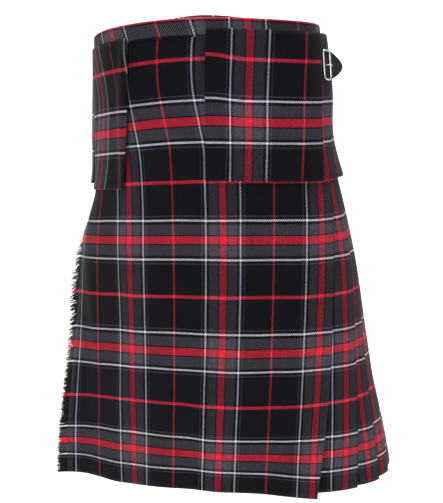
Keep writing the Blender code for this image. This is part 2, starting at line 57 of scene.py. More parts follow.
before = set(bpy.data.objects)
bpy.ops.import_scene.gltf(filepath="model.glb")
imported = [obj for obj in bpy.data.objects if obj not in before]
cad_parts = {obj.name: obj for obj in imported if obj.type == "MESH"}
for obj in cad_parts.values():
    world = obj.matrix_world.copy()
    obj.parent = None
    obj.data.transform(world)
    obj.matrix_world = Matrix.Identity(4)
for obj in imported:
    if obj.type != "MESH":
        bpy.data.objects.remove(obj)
CAD_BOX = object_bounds()
CAD_BOX_LOW = float(CAD_BOX[0][2])

# The aprons and the pleated cloth. "Sink" is how far a piece lies inside the rings.
CLOTH_LENGTH = 0.610
CLOTH_THICK = 0.0010
LAYER = 0.0018
FRINGE_EDGE = -0.2455
TURN_UNDER = 0.050
PLEATS = 20
PLEAT_DEPTH_SHARE = 0.60
HEM_LAYER = 0.0040
PLEATS_OPEN_AT = 0.120
PLEATS_OPEN_POWER = 1.5
PLEAT_BULGE = 0.0009
LAST_PLEAT_COVER = 0.010
LAST_PLEAT_SINK = 0.0033
UNDER_APRON_SINK = 0.0099
UNDER_APRON_SINK_HEM = 0.0130
UNDER_APRON_HEM_LIFT = 0.011
APRON_HEM_FROM = 0.505
UNDER_APRON_END = 0.118
UNDER_APRON_PHASE = 0.31
BODY_TOP = 0.003

# The waistband, folded over the top edge
BAND_DEPTH = 0.021
BAND_OUT = 0.0022
BAND_IN = -0.0122
BAND_CORNER = 0.0016
BAND_END_GAP = 0.003
BAND_STRIPE_STEP = 0.0003

# The upper fold, here called the flap. In the names of these sizes right and left are the picture's,
# and in the names of the pieces they are the wearer's.
FLAP_TOP = 0.0115
FLAP_BOTTOM = 0.190
FLAP_OUT = 0.0060
FLAP_FLARE = -0.0008
FLAP_LAYER = 0.0018
FLAP_FOLD_EDGE = 0.1280
FLAP_FOLD_LEAN = -0.006
FLAP_RIGHT_EDGE = -0.008
FLAP_LEFT_EDGE = -0.102
FLAP_EDGE_LEAN = -0.011
FLAP_LEFT_LEAN = -0.027
FLAP_LEFT_CURVE = 1.8
STRAP_ROOM = 0.0042
PANEL_OUT = 0.0038
LAST_FLAP_SINK = 0.0018
FLAP_DROP_TOP = 0.004
FLAP_DROP_HEM = 0.009
FLAP_DROP_RUN = 0.050

# The strap and its buckle at the wearer's left hip, by distances from the front panel's fold edge. The
# prong's run is in half widths of the buckle, and its rise in shares of the run.
STRAP_DOWN = 0.0490
STRAP_OUT = 0.0082
STRAP_STAND_OFF = 0.14
STRAP_WIDTH = 0.033
STRAP_THICK = 0.0024
STRAP_START = -0.011
STRAP_FALL = 0.12
STRAP_TIP_START = 0.0245
STRAP_TIP_END = 0.0455
STRAP_TIP_POWER = 0.55
STRAP_TIP_SHARE = 0.06
STRAP_STEP = 0.002
STRAP_TIP_STEP = 0.0012
STRAP_PARTS = 15
BUCKLE_MIDDLE = 0.0136
BUCKLE_WIDTH = 0.0120
BUCKLE_HEIGHT = 0.0345
BUCKLE_CORNER = 0.0040
BUCKLE_BAR = 0.0028
PRONG_BAR = 0.0018
PRONG_START = -0.45
PRONG_RUN = 1.50
PRONG_RISE_FROM = 0.35
PRONG_RISE_OVER = 0.45
TAB_THICK = 0.0015
TAB_WIDTH = 0.030
TAB_STEP = 0.0016
TAB_PARTS = 13
# The tab's stand-off from the rings, at distances from the front panel's fold edge
TAB = ((0.0175, 0.0099), (0.0215, 0.0107), (0.0300, 0.0113), (0.0400, 0.0113), (0.0500, 0.0113))
WORN_EDGE_SHARE = 0.28
SHARP_ANGLE = math.radians(50.0)
REST_GAP = 0.0003
STITCH_SPACING = 0.0032
STITCH_INSET = 0.0026
STITCH_LENGTH = 0.0021
STITCH_RADIUS = 0.00032
STITCH_PROUD = 0.3
STITCHES_END = 0.004

# The frayed edge: where the weave ends, and the loose weft yarns' length, droop and stand-off from the
# cloth, down the edge. Each yarn's own sizes are spread between two shares of these, and it begins a
# quarter of its length inside the cloth.
WOVEN_EDGE = -0.2397
YARNS = 1500
YARN_SEED = 7
YARN_TOP = 0.197
YARN_PLACE_SPREAD = (-0.3, 0.3)
YARN_LENGTH_SPREAD = (0.76, 1.08)
YARN_SAG_SPREAD = (0.3, 1.5)
YARN_OFF_SPREAD = (0.2, 1.3)
YARN_IN_CLOTH = -0.25
YARN_TAPER = 0.55
YARN_COLUMNS = ("down", "length", "sag", "off", "radius")
YARN_SIZES = (
    (0.197, 0.0035, 0.0008, 0.0010, 0.00032),
    (0.235, 0.0050, 0.0012, 0.0018, 0.00036),
    (0.262, 0.0085, 0.0025, 0.0045, 0.00042),
    (0.290, 0.0125, 0.0050, 0.0080, 0.00050),
    (0.330, 0.0145, 0.0060, 0.0095, 0.00055),
    (0.400, 0.0110, 0.0045, 0.0065, 0.00055),
    (0.480, 0.0095, 0.0025, 0.0045, 0.00055),
    (0.610, 0.0105, 0.0008, 0.0045, 0.00050),
)

# Level rings, from the top edge down. Squareness 2 is an ellipse, more is boxier, less more pointed.
SECTION_COLUMNS = ("level", "fringe_half", "pleat_half", "front_depth", "back_depth", "centre_x", "turn",
                   "fringe_square", "pleat_square")
SECTIONS = (
    (0.000, 0.147, 0.133, 0.116, 0.104, -0.014, 1.5, 2.40, 3.2),
    (0.090, 0.153, 0.141, 0.124, 0.118, -0.009, 1.0, 2.30, 3.5),
    (0.150, 0.158, 0.141, 0.126, 0.129, -0.006, 1.6, 2.15, 3.6),
    (0.200, 0.162, 0.154, 0.127, 0.137, -0.004, 2.0, 1.88, 3.6),
    (0.300, 0.181, 0.178, 0.131, 0.148, -0.002, 2.0, 1.72, 3.5),
    (0.430, 0.194, 0.203, 0.138, 0.158, -0.003, 1.5, 1.44, 3.0),
    (0.610, 0.224, 0.247, 0.139, 0.168, -0.005, 0.0, 1.20, 2.5),
    (0.700, 0.229, 0.262, 0.141, 0.170, -0.005, 0.0, 1.18, 2.4),
)
BACK_SQUARE = 2.2
RING_POINTS = 240
RING_SOFTENING = 26
LEVEL_STEP = 0.010
LEVELS_END = 0.7001

# How far the threads hang below the level of the front, at the two sides and the back
DROOP_COLUMNS = ("down", "apron_fringe_side", "fringe_side", "pleat_side", "back")
DROOPS = (
    (0.000, 0.028, 0.028, 0.014, 0.000),
    (0.090, 0.034, 0.030, 0.012, 0.002),
    (0.190, 0.030, 0.028, 0.011, 0.006),
    (0.300, 0.031, 0.026, 0.010, 0.010),
    (0.430, 0.040, 0.028, 0.011, 0.012),
    (0.610, 0.049, 0.032, 0.011, 0.014),
)

# The largest folds, which the solids have too
FOLD_COLUMNS = ("along_top", "along_hem", "half_width", "out_top", "out_hem")
FOLDS = (
    (-0.200, -0.196, 0.026, 0.002, 0.000),
    (-0.095, -0.080, 0.045, 0.000, 0.003),
    (0.060, 0.075, 0.045, 0.000, 0.003),
)
APRON_FLARE = ((-0.252, -0.264, 0.030, 0.004, 0.024),)
FOLDS_BEGIN = 0.200
FOLDS_GROW_OVER = 0.060

# How much lower the front apron's uneven hem hangs, round the body
HEM_COLUMNS = ("along", "lower")
APRON_HEM = ((-0.2455, -0.0115), (-0.150, -0.0010), (0.000, -0.0070), (0.060, -0.0050), (0.135, 0.0080))

# Where the front apron's folded edge lies, and how much further round than an even spacing the folded
# edges of the first pleats lie
PLEAT_COLUMNS = ("down", "apron_edge", "pleat_1", "pleat_2", "pleat_3", "pleat_4")
FIRST_PLEATS = (
    (0.000, 0.1450, 0.0010, 0.0000, 0.0000, 0.0000),
    (0.200, 0.1450, 0.0020, 0.0000, 0.0000, 0.0000),
    (0.350, 0.1442, 0.0067, -0.0010, 0.0000, 0.0000),
    (0.450, 0.1425, 0.0100, 0.0010, 0.0000, 0.0000),
    (0.530, 0.1396, 0.0130, 0.0080, 0.0030, 0.0010),
    (0.610, 0.1330, 0.0185, 0.0200, 0.0115, 0.0050),
)

# Soft creases of the worn cloth below the upper fold: a ridge, or a trough where out is negative,
# from one place on the cloth to another
CREASE_COLUMNS = ("along_a", "down_a", "along_b", "down_b", "half_width", "out")
BODY_CREASES = (
    (-0.225, 0.235, -0.190, 0.420, 0.014, 0.0020),
    (-0.170, 0.230, -0.150, 0.360, 0.018, -0.0016),
    (-0.115, 0.250, -0.120, 0.470, 0.020, 0.0014),
    (-0.060, 0.300, -0.040, 0.560, 0.022, -0.0012),
    (0.010, 0.260, 0.015, 0.450, 0.020, 0.0010),
    (0.070, 0.330, 0.060, 0.580, 0.018, -0.0012),
    (0.110, 0.240, 0.100, 0.400, 0.012, 0.0012),
    (-0.150, 0.470, -0.158, 0.610, 0.020, 0.0022),
    (-0.020, 0.500, -0.005, 0.610, 0.020, 0.0016),
    (0.230, 0.280, 0.245, 0.420, 0.016, 0.0012),
    (0.330, 0.260, 0.345, 0.450, 0.020, -0.0016),
    (0.430, 0.300, 0.440, 0.520, 0.024, 0.0020),
    (0.520, 0.250, 0.530, 0.420, 0.020, -0.0014),
    (0.610, 0.320, 0.630, 0.560, 0.022, 0.0018),
    (0.690, 0.270, 0.700, 0.430, 0.018, -0.0012),
)
FLAP_CREASES = (
    (-0.106, 0.030, -0.127, 0.190, 0.010, 0.0045),
    (-0.010, 0.030, -0.018, 0.190, 0.010, 0.0028),
    (-0.095, 0.020, -0.100, 0.150, 0.013, 0.0012),
    (-0.150, 0.040, -0.145, 0.170, 0.016, -0.0010),
    (0.030, 0.060, 0.022, 0.190, 0.018, 0.0012),
    (0.075, 0.090, 0.085, 0.190, 0.018, -0.0010),
    (0.105, 0.020, 0.100, 0.120, 0.012, 0.0008),
    (0.300, 0.050, 0.310, 0.180, 0.024, 0.0010),
    (0.430, 0.060, 0.430, 0.170, 0.024, -0.0010),
    (0.560, 0.040, 0.550, 0.180, 0.024, 0.0010),
)

# The tartan: one sett across and one down, and where its wide red stripes lie on each piece
SETT_ACROSS = 0.1252
SETT_DOWN = 0.1454
RED_DOWN = 0.1192
RED_BEFORE_FOLD = 0.020
RED_ON_FLAP_RIGHT = 0.0434
FLAP_STRIPE_LEAN = -0.012
FLAP_RISE = 0.0054
FLAP_RISE_RUN = 0.050
FLAP_RISE_FROM = 0.040
FLAP_RISE_TO = 0.160
RED_ON_BAND_MIDDLE = -0.0045
BAND_LEAN = 0.30
RED_ON_BAND_SIDES = 0.041
RED_ON_BAND_TOP = -0.0168
RED_DOWN_ON_BAND = -0.0035
BAND_STRETCH = 0.88

# On the upper fold's narrow front panel: where the wide red stripe lies, and how many times its own
# width of cloth the soft folds there take up
FLAP_WEAVE_COLUMNS = ("down", "red_at", "taken_up")
FLAP_WEAVE = (
    (0.0125, -0.1740, 1.50), (0.036, -0.1660, 1.70), (0.067, -0.1570, 1.90), (0.090, -0.1570, 1.90),
    (0.120, -0.1635, 1.70), (0.150, -0.1710, 1.50), (0.190, -0.1880, 1.30),
)
FLAP_FOLDS_END = -0.185
FLAP_FOLDS_FADE = 0.075
FLAP_TAKEN_UP_BEHIND = -0.030

# How far the over apron's warp stripes lie from a straight run under the upper fold's opening
DRIFT_COLUMNS = ("down", "aside")
APRON_DRIFT = (
    (0.000, 0.0000), (0.045, 0.0055), (0.075, 0.0060), (0.110, 0.0025), (0.150, -0.0020),
    (0.190, -0.0010), (0.250, 0.0000), (0.610, 0.0000),
)

# The stripes from the middle of a wide red one, at 0, to the middle of a thin red one, at 1
STRIPES = (
    (0.000, "red"), (0.066, "red"), (0.073, "black"), (0.088, "black"), (0.096, "grey"), (0.268, "grey"),
    (0.278, "black"), (0.322, "black"), (0.326, "white"), (0.354, "white"), (0.360, "black"),
    (0.402, "black"), (0.408, "pin"), (0.420, "pin"), (0.428, "black"), (0.968, "black"),
    (0.976, "red"), (1.000, "red"),
)

# The warp's thin red stripe is a yarn or two narrower than the weft's
WARP_STRIPES = STRIPES[:-3] + ((0.978, "black"), (0.987, "red"), (1.000, "red"))

# A cloth piece's mesh: the number of its columns, or the steps between them and down the cloth
APRON_PARTS = 118
UNDER_APRON_PARTS = 100
FLAP_PARTS = 22
FLAP_LEFT_PARTS = 46
BACK_PARTS = 7
YARN_RINGS = 5
STEP_ALONG = 0.0034
STEP_DOWN = 0.0060

# One pleat, as shares: of what shows, of its turn behind the pleat before it or under the front apron,
# and of its return. A folded edge turns over by these numbers of layers, onwards and inwards.
PANEL_SHARES = (0.0, 0.05, 0.12, 0.22, 0.34, 0.46, 0.58, 0.70, 0.81, 0.90, 0.96)
BEHIND_SHARES = (1.0, 0.5)
UNDER_FRONT_SHARES = (1.0, 0.75, 0.5, 0.25)
RETURN_SHARES = (0.06, 0.30, 0.62, 1.0)
FOLD_TURN = ((0.0, 0.0), (0.35, 0.15), (0.5, 0.5), (0.35, 0.85))
EDGE_ROUNDING = 0.15

# Grains and patches of the finishes, by their real sizes on the wool, leather, thread and metal
EYE = 2.2
WEFT_ON_TOP = (0.28, 0.92)
WAVER_PATCH = 0.05
WAVER_SETTS = 0.010
DYE_GRAIN = 0.0022
DYE_PATCH = 0.06
STREAK_WIDTH = 0.0016
NAVY_PATCH = 0.14
NAVY_CAST = (0.97, 0.96, 1.16, 1.0)
RIB_HEIGHT = 0.0003
LOOSE_YARN_GRAIN = 0.0024
LEATHER_GRAIN = 0.0009
LEATHER_GRAIN_DEPTH = 0.0002
LEATHER_RUBBED_PATCH = 0.006
LEATHER_TONE_PATCH = 0.010
THREAD_TONE_PATCH = 0.0006
HAIRLINE_WIDTH = 0.0008

# The stage: a floor that curves up into a backdrop, and each light's place, target, size, watts and
# colour
FLOOR_BELOW = 0.42
FLOOR_HALF_WIDTH = 4.0
FLOOR_FRONT = -3.2
FLOOR_BACK = 2.2
FLOOR_RADIUS = 0.9
FLOOR_TURN_STEPS = 12
BACKDROP_TOP = 3.4
LIT_MIDDLE = (0.0, 0.0, -0.33)
LIGHTS = (
    ("key softbox", (-0.8, -2.5, 1.1), LIT_MIDDLE, (1.6, 2.0), 33.0, "#ffffff"),
    ("fill softbox", (1.9, -1.9, 0.3), LIT_MIDDLE, (1.6, 2.0), 4.5, "#fbfbff"),
    ("top softbox", (0.0, 0.2, 2.2), LIT_MIDDLE, (2.4, 2.4), 13.0, "#ffffff"),
    ("backdrop light", (0.0, 0.9, 2.4), (0.0, 3.0, 0.2), (3.0, 1.0), 170.0, "#ffffff"),
)
ROOM_LIGHT = 0.29


def linear(hex_colour):
    """A colour written as sRGB hex, as linear red, green, blue and alpha."""
    found = []
    for i in (1, 3, 5):
        part = int(hex_colour[i:i + 2], 16) / 255.0
        found.append(part / 12.92 if part <= 0.04045 else ((part + 0.055) / 1.055) ** 2.4)
    return (*found, 1.0)


def curve_between(t, start, start_slope, end, end_slope):
    """A smooth curve from start to end with the given slopes, for t from 0 to 1."""
    return ((2 * t**3 - 3 * t**2 + 1) * start + (t**3 - 2 * t**2 + t) * start_slope
            + (3 * t**2 - 2 * t**3) * end + (t**3 - t**2) * end_slope)


def read_column(rows, columns, name, at):
    """A smooth curve through one column of a table, read against its first column."""
    x = np.array([row[0] for row in rows])
    y = np.array([row[columns.index(name)] for row in rows])
    slope = np.gradient(y, x)
    at = np.clip(np.asarray(at, dtype=float), x[0], x[-1])
    i = np.clip(np.searchsorted(x, at, side="right") - 1, 0, len(x) - 2)
    span = x[i + 1] - x[i]
    t = (at - x[i]) / span
    return curve_between(t, y[i], span * slope[i], y[i + 1], span * slope[i + 1])


def even_ring(points):
    """The closed outline's points, spread evenly, the first at the middle of the front."""
    closed = np.vstack([points, points[:1]])
    reach = np.concatenate([[0.0], np.cumsum(np.linalg.norm(np.diff(closed, axis=0), axis=1))])
    at = np.linspace(0.0, reach[-1], RING_POINTS, endpoint=False)
    return np.column_stack([np.interp(at, reach, closed[:, k]) for k in (0, 1)]), reach[-1]


def make_ring(level):
    """The ring at one level, softened and spread evenly, and its girth."""
    size = {name: float(read_column(SECTIONS, SECTION_COLUMNS, name, level))
            for name in SECTION_COLUMNS[1:]}
    turn = np.linspace(0.0, 2.0 * math.pi, 2 * RING_POINTS, endpoint=False)
    sine, cosine = np.sin(turn), np.cos(turn)
    front = cosine > 0.0
    at_front = np.where(sine < 0.0, size["fringe_square"], size["pleat_square"])
    square = np.where(front, at_front, BACK_SQUARE)
    depth = np.where(front, size["front_depth"], size["back_depth"])
    half = np.where(sine < 0.0, size["fringe_half"], size["pleat_half"])
    x = half * np.sign(sine) * np.abs(sine) ** (2.0 / square)
    y = -depth * np.sign(cosine) * np.abs(cosine) ** (2.0 / square)
    angle = math.radians(size["turn"])
    ring = np.column_stack([x * math.cos(angle) - y * math.sin(angle) + size["centre_x"],
                            x * math.sin(angle) + y * math.cos(angle)])
    ring, _ = even_ring(ring)
    for _ in range(RING_SOFTENING):
        ring = (np.roll(ring, 1, axis=0) + 2.0 * ring + np.roll(ring, -1, axis=0)) / 4.0
    return even_ring(ring)


LEVELS = np.arange(0.0, LEVELS_END, LEVEL_STEP)
MADE_RINGS = [make_ring(level) for level in LEVELS]
RINGS = np.array([ring for ring, _ in MADE_RINGS])
GIRTHS = np.array([ring_girth for _, ring_girth in MADE_RINGS])
DOWN_AT_LEVEL = np.concatenate([[0.0], np.cumsum(np.hypot(np.diff(LEVELS), np.diff(RINGS[:, 0, 1])))])


def girth(down):
    return np.interp(down, DOWN_AT_LEVEL, GIRTHS)


def ease(share):
    share = np.clip(share, 0.0, 1.0)
    return share * share * (3.0 - 2.0 * share)


def droop(along, down, fringe_side):
    """How far below the front the cloth's threads hang, round the body."""
    turn = (2.0 * math.pi * along / girth(down) + math.pi) % (2.0 * math.pi) - math.pi
    at_side = np.where(turn < 0.0, read_column(DROOPS, DROOP_COLUMNS, fringe_side, down),
                       read_column(DROOPS, DROOP_COLUMNS, "pleat_side", down))
    at_back = read_column(DROOPS, DROOP_COLUMNS, "back", down)
    t = np.clip(np.abs(turn) / (math.pi / 2.0) - 1.0, 0.0, 1.0)
    behind = curve_between(t, at_side, at_side * math.pi / 2.0, at_back, 0.0)
    return np.where(np.abs(turn) <= math.pi / 2.0, at_side * (1.0 - np.cos(turn)), behind)


def nearer_way(along, down):
    """The along size with the wearer's right as negative, as far as the middle of the back."""
    total = girth(down)
    return np.where(along > total / 2.0, along - total, along)


def large_folds(along, down, folds):
    """How far the large folds stand out from the rings."""
    along = nearer_way(along, down)
    share = np.clip((down - FOLDS_BEGIN) / (CLOTH_LENGTH - FOLDS_BEGIN), 0.0, 1.0)
    out = np.zeros(np.shape(along))
    for row in folds:
        fold = dict(zip(FOLD_COLUMNS, row))
        middle = fold["along_top"] + (fold["along_hem"] - fold["along_top"]) * share
        height = fold["out_top"] + (fold["out_hem"] - fold["out_top"]) * share
        out = out + height * np.exp(-(((along - middle) / fold["half_width"]) ** 2))
    return out * ease((down - FOLDS_BEGIN) / FOLDS_GROW_OVER)


def small_creases(along, down, creases):
    """How far the soft creases of one table stand out, each fading at its ends and sides."""
    out = np.zeros(np.shape(along))
    for row in creases:
        crease = dict(zip(CREASE_COLUMNS, row))
        run = np.array([crease["along_b"] - crease["along_a"], crease["down_b"] - crease["down_a"]])
        length = float(np.hypot(*run))
        run = run / length
        past = (along - crease["along_a"]) * run[0] + (down - crease["down_a"]) * run[1]
        aside = (along - crease["along_a"]) * run[1] - (down - crease["down_a"]) * run[0]
        beyond = np.clip(np.maximum(-past, past - length), 0.0, None)
        near = (aside / crease["half_width"]) ** 2 + (beyond / (2.0 * crease["half_width"])) ** 2
        out = out + crease["out"] * np.exp(-near)
    return out


def ring_places(along, level, cloth_girth):
    """Points and their outward directions in plan, on the rings at the given levels."""
    share = ease(2.0 * along / cloth_girth - 0.5)
    place = np.clip(level / LEVEL_STEP, 0.0, len(LEVELS) - 1.001)
    i = place.astype(int)
    part = (place - i)[..., None]
    point = 0.0
    tangent = 0.0
    for ring, weight in ((i, 1.0 - part), (i + 1, part)):
        ring_girth = GIRTHS[ring]
        at = ((along + (ring_girth - cloth_girth) * share) / (ring_girth / RING_POINTS)) % RING_POINTS
        k = at.astype(int)
        f = (at - k)[..., None]
        here, after = RINGS[ring, k % RING_POINTS], RINGS[ring, (k + 1) % RING_POINTS]
        before, further = RINGS[ring, (k - 1) % RING_POINTS], RINGS[ring, (k + 2) % RING_POINTS]
        point = point + weight * (here * (1.0 - f) + after * f)
        tangent = tangent + weight * ((after - before) * (1.0 - f) + (further - here) * f)
    tangent = tangent / np.linalg.norm(tangent, axis=-1, keepdims=True)
    return point, np.stack([tangent[..., 1], -tangent[..., 0]], axis=-1)


def lay(along, down, out, fringe_side="fringe_side", folds=FOLDS, creases=BODY_CREASES):
    """The places in space of points of the cloth, laid "out" metres outside the rings."""
    along, down, out = np.broadcast_arrays(*(np.asarray(a, dtype=float) for a in (along, down, out)))
    level = np.interp(down, DOWN_AT_LEVEL, LEVELS) + droop(along, down, fringe_side)
    point, outward = ring_places(along, level, girth(down))
    out = out + large_folds(along, down, folds) + small_creases(along, down, creases)
    return np.concatenate([point + outward * out[..., None], -level[..., None]], axis=-1)


def lay_flap(along, down, out):
    """Places on the upper fold, which has its own soft creases and none of the body's folds."""
    return lay(along, down, out, folds=(), creases=FLAP_CREASES)


def lay_apron(along, down, out):
    """Places on the front apron, which flares at its fringed edge and hangs unevenly at its hem."""
    lower = read_column(APRON_HEM, HEM_COLUMNS, "lower", along)
    hung = down + lower * ease((down - APRON_HEM_FROM) / (CLOTH_LENGTH - APRON_HEM_FROM))
    return lay(along, hung, out, "apron_fringe_side", FOLDS + APRON_FLARE)


def add_object(name, data):
    made = bpy.data.objects.new(name, data)
    bpy.context.scene.collection.objects.link(made)
    return made


def cloth_mesh(name, points, faces, across, downward):
    """A mesh whose points keep their place in the weave, in setts across and down, as an attribute."""
    mesh = bpy.data.meshes.new(name)
    mesh.from_pydata(points.reshape(-1, 3).tolist(), [], faces)
    woven = mesh.attributes.new("cloth", "FLOAT_VECTOR", "POINT")
    places = np.broadcast_arrays(across, downward, np.zeros(points.shape[:-1]))
    woven.data.foreach_set("vector", np.stack(places, axis=-1).reshape(-1).astype(np.float32))
    mesh.shade_smooth()
    return mesh


def cloth_shell(name, points, across, downward, thick=CLOTH_THICK):
    """A thin shell through rows and columns of points."""
    rows, columns = points.shape[:2]
    a = (np.arange(rows - 1)[:, None] * columns + np.arange(columns - 1)[None, :]).ravel()
    faces = np.stack([a, a + columns, a + columns + 1, a + 1], axis=1).tolist()
    piece = add_object(name, cloth_mesh(name, points, faces, across, downward))
    shell = piece.modifiers.new("cloth thickness", "SOLIDIFY")
    shell.thickness = thick
    shell.offset = 0.0
    return piece


def dress(piece, finish, slot, *nodes):
    """Gives a piece its material, its body and the CAD nodes that it stands for. The slot is not used."""
    piece.data.materials.append(finish)
    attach(piece, "root")
    if nodes:
        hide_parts(*nodes)
    return piece


def evenly(start, end, step):
    return np.linspace(start, end, max(2, int(round(abs(end - start) / step)) + 1))


def downs_between(top, bottom):
    return evenly(top, bottom, STEP_DOWN)


def in_setts_down(down, red=RED_DOWN):
    return (down - red) / SETT_DOWN


def last_turn(down, lines):
    """Where the last pleat's turn ends under the front, as an along size before the front's middle."""
    return lines[:, -1] - girth(down) - PLEAT_DEPTH_SHARE * (lines[:, -1] - lines[:, -2])


def fold_lines(down, first):
    """Where the pleats' folded edges lie round the body, as rows of downs and columns of folds."""
    last = girth(down) + FRINGE_EDGE + LAST_PLEAT_COVER
    share = np.arange(PLEATS + 1) / PLEATS
    lines = first[:, None] + (last - first)[:, None] * share[None, :]
    for k in range(1, len(PLEAT_COLUMNS) - 1):
        lines[:, k] += read_column(FIRST_PLEATS, PLEAT_COLUMNS, f"pleat_{k}", down)
    return lines


def apron_fold_edge(down):
    return read_column(FIRST_PLEATS, PLEAT_COLUMNS, "apron_edge", down)


def turned_edge(edge, high, layer, start, parts):
    """Columns up to a folded edge and back under it: along and out, and the cloth's own distance."""
    edge, high, start = (np.asarray(a, dtype=float)[:, None] for a in (edge, high, start))
    flat = start + (edge - layer / 2.0 - start) * np.linspace(0.0, 1.0, parts)
    back = edge - layer / 2.0 - (TURN_UNDER - layer / 2.0) * np.linspace(0.0, 1.0, BACK_PARTS)
    rounded = edge - layer * EDGE_ROUNDING
    along = np.concatenate([flat, rounded, edge, rounded, back], axis=1)
    bend = [high - layer * EDGE_ROUNDING, high - layer / 2.0, high - layer * (1.0 - EDGE_ROUNDING)]
    out = np.concatenate([high + 0.0 * flat, *bend, high - layer + 0.0 * back], axis=1)
    cloth = np.concatenate([flat, edge, edge + layer * 0.6, edge + layer * 1.2, 2.0 * edge - back],
                           axis=1)
    return along, out, cloth


def make_over_apron(finish):
    """The flat front panel, from the end of its weave to its folded edge, which is turned under."""
    down = downs_between(BODY_TOP, CLOTH_LENGTH)
    edge = apron_fold_edge(down)
    along, out, cloth = turned_edge(edge, 0.0 * down, LAYER, 0.0 * down + WOVEN_EDGE, APRON_PARTS)
    drift = read_column(APRON_DRIFT, DRIFT_COLUMNS, "aside", down)[:, None]
    piece = cloth_shell("cloth_over_apron", lay_apron(along, down[:, None], out),
                        (cloth + drift) / SETT_ACROSS, in_setts_down(down)[:, None])
    return dress(piece, finish, "tartan_cloth", "over_apron")


def make_under_apron(finish):
    """The hidden flat panel, on from the last pleat. Its stripes begin anywhere in the sett."""
    down = downs_between(BODY_TOP, CLOTH_LENGTH)
    start = last_turn(down, fold_lines(down, apron_fold_edge(down)))
    share = np.linspace(0.0, 1.0, UNDER_APRON_PARTS)[None, :]
    along = start[:, None] + (UNDER_APRON_END - start)[:, None] * share
    sink = UNDER_APRON_SINK + (UNDER_APRON_SINK_HEM - UNDER_APRON_SINK) * down / CLOTH_LENGTH
    hang = down * (1.0 - UNDER_APRON_HEM_LIFT / CLOTH_LENGTH)
    piece = cloth_shell("cloth_under_apron", lay(along, hang[:, None], -sink[:, None]),
                        along / SETT_ACROSS + UNDER_APRON_PHASE, in_setts_down(hang)[:, None])
    return dress(piece, finish, "tartan_cloth", "under_apron")


def make_fringe(finish):
    """The frayed edge: fine loose yarns on from the apron's weft, each of its own length and droop."""
    chance = np.random.default_rng(YARN_SEED)
    step = (CLOTH_LENGTH - YARN_TOP) / YARNS
    down = YARN_TOP + step * (np.arange(YARNS) + 0.5) + chance.uniform(*YARN_PLACE_SPREAD, YARNS) * step
    size = {name: read_column(YARN_SIZES, YARN_COLUMNS, name, down) for name in YARN_COLUMNS[1:]}
    length = size["length"] * chance.uniform(*YARN_LENGTH_SPREAD, YARNS)
    sag = size["sag"] * chance.uniform(*YARN_SAG_SPREAD, YARNS)
    off = size["off"] * chance.uniform(*YARN_OFF_SPREAD, YARNS)
    shares = np.linspace(YARN_IN_CLOTH, 1.0, YARN_RINGS)
    past = np.clip(shares, 0.0, 1.0)
    line = lay_apron(WOVEN_EDGE - length[:, None] * shares, down[:, None], off[:, None] * past**1.5)
    line[..., 2] -= sag[:, None] * past**2
    turn = np.radians([45.0, 135.0, 225.0, 315.0])
    radius = size["radius"][:, None] * (1.0 - YARN_TAPER * past**3)
    around = np.repeat(line[:, :, None, :], len(turn), axis=2)
    around[..., 2] += radius[..., None] * np.sin(turn)
    around[..., 1] += radius[..., None] * np.cos(turn)
    sides = len(turn)
    faces = []
    for yarn in range(YARNS):
        root = yarn * YARN_RINGS * sides
        for first in range(root, root + (YARN_RINGS - 1) * sides, sides):
            for k in range(sides):
                m = (k + 1) % sides
                faces.append((first + k, first + m, first + sides + m, first + sides + k))
        end = root + (YARN_RINGS - 1) * sides
        faces.append(tuple(range(end, end + sides)))
    mesh = cloth_mesh("frayed_edge", around, faces, 0.0, in_setts_down(down)[:, None, None])
    return dress(add_object("frayed_edge", mesh), finish, "fringe_yarn", "apron_fringe")


def pleat_columns(lines, first, last, base, layer_at, sink_last, bulge):
    """Pleats first to last as rows of downs: along, out and the cloth's distance from a red stripe."""
    along, out, cloth = [], [], []
    for k in range(first, last + 1):
        before, edge = lines[:, k - 1], lines[:, k]
        reveal = edge - before
        depth = PLEAT_DEPTH_SHARE * reveal
        layer_before, layer = layer_at(k - 1), layer_at(k)
        low = base - 2.0 * layer_before
        high = base - (sink_last if k == PLEATS else 0.0)
        slope = (high - low) / reveal
        if k == 1:
            for back in UNDER_FRONT_SHARES:
                along.append(before - TURN_UNDER * back)
                out.append(low)
        else:
            for back in BEHIND_SHARES:
                along.append(before - depth * back + layer_before / 2.0 * back)
                out.append(low - slope * depth * back)
        for share in PANEL_SHARES:
            along.append(before + (reveal - layer / 2.0) * share)
            out.append(low + (high - low) * share + bulge * math.sin(math.pi * share))
        cloth += [a - edge for a in along[len(cloth):]]
        for forward, deeper in FOLD_TURN:
            along.append(edge - layer / 2.0 + layer * forward)
            out.append(high - layer * deeper)
            cloth.append(-layer / 2.0 + layer * (forward + deeper))
        for share in RETURN_SHARES:
            back = layer / 2.0 + (depth - layer) * share
            along.append(edge - back)
            out.append(high - layer - slope * back)
            cloth.append(back + layer)
    along, out = np.stack(along, axis=1), np.stack(out, axis=1)
    return along, out, np.stack(np.broadcast_arrays(*cloth), axis=1) + RED_BEFORE_FOLD


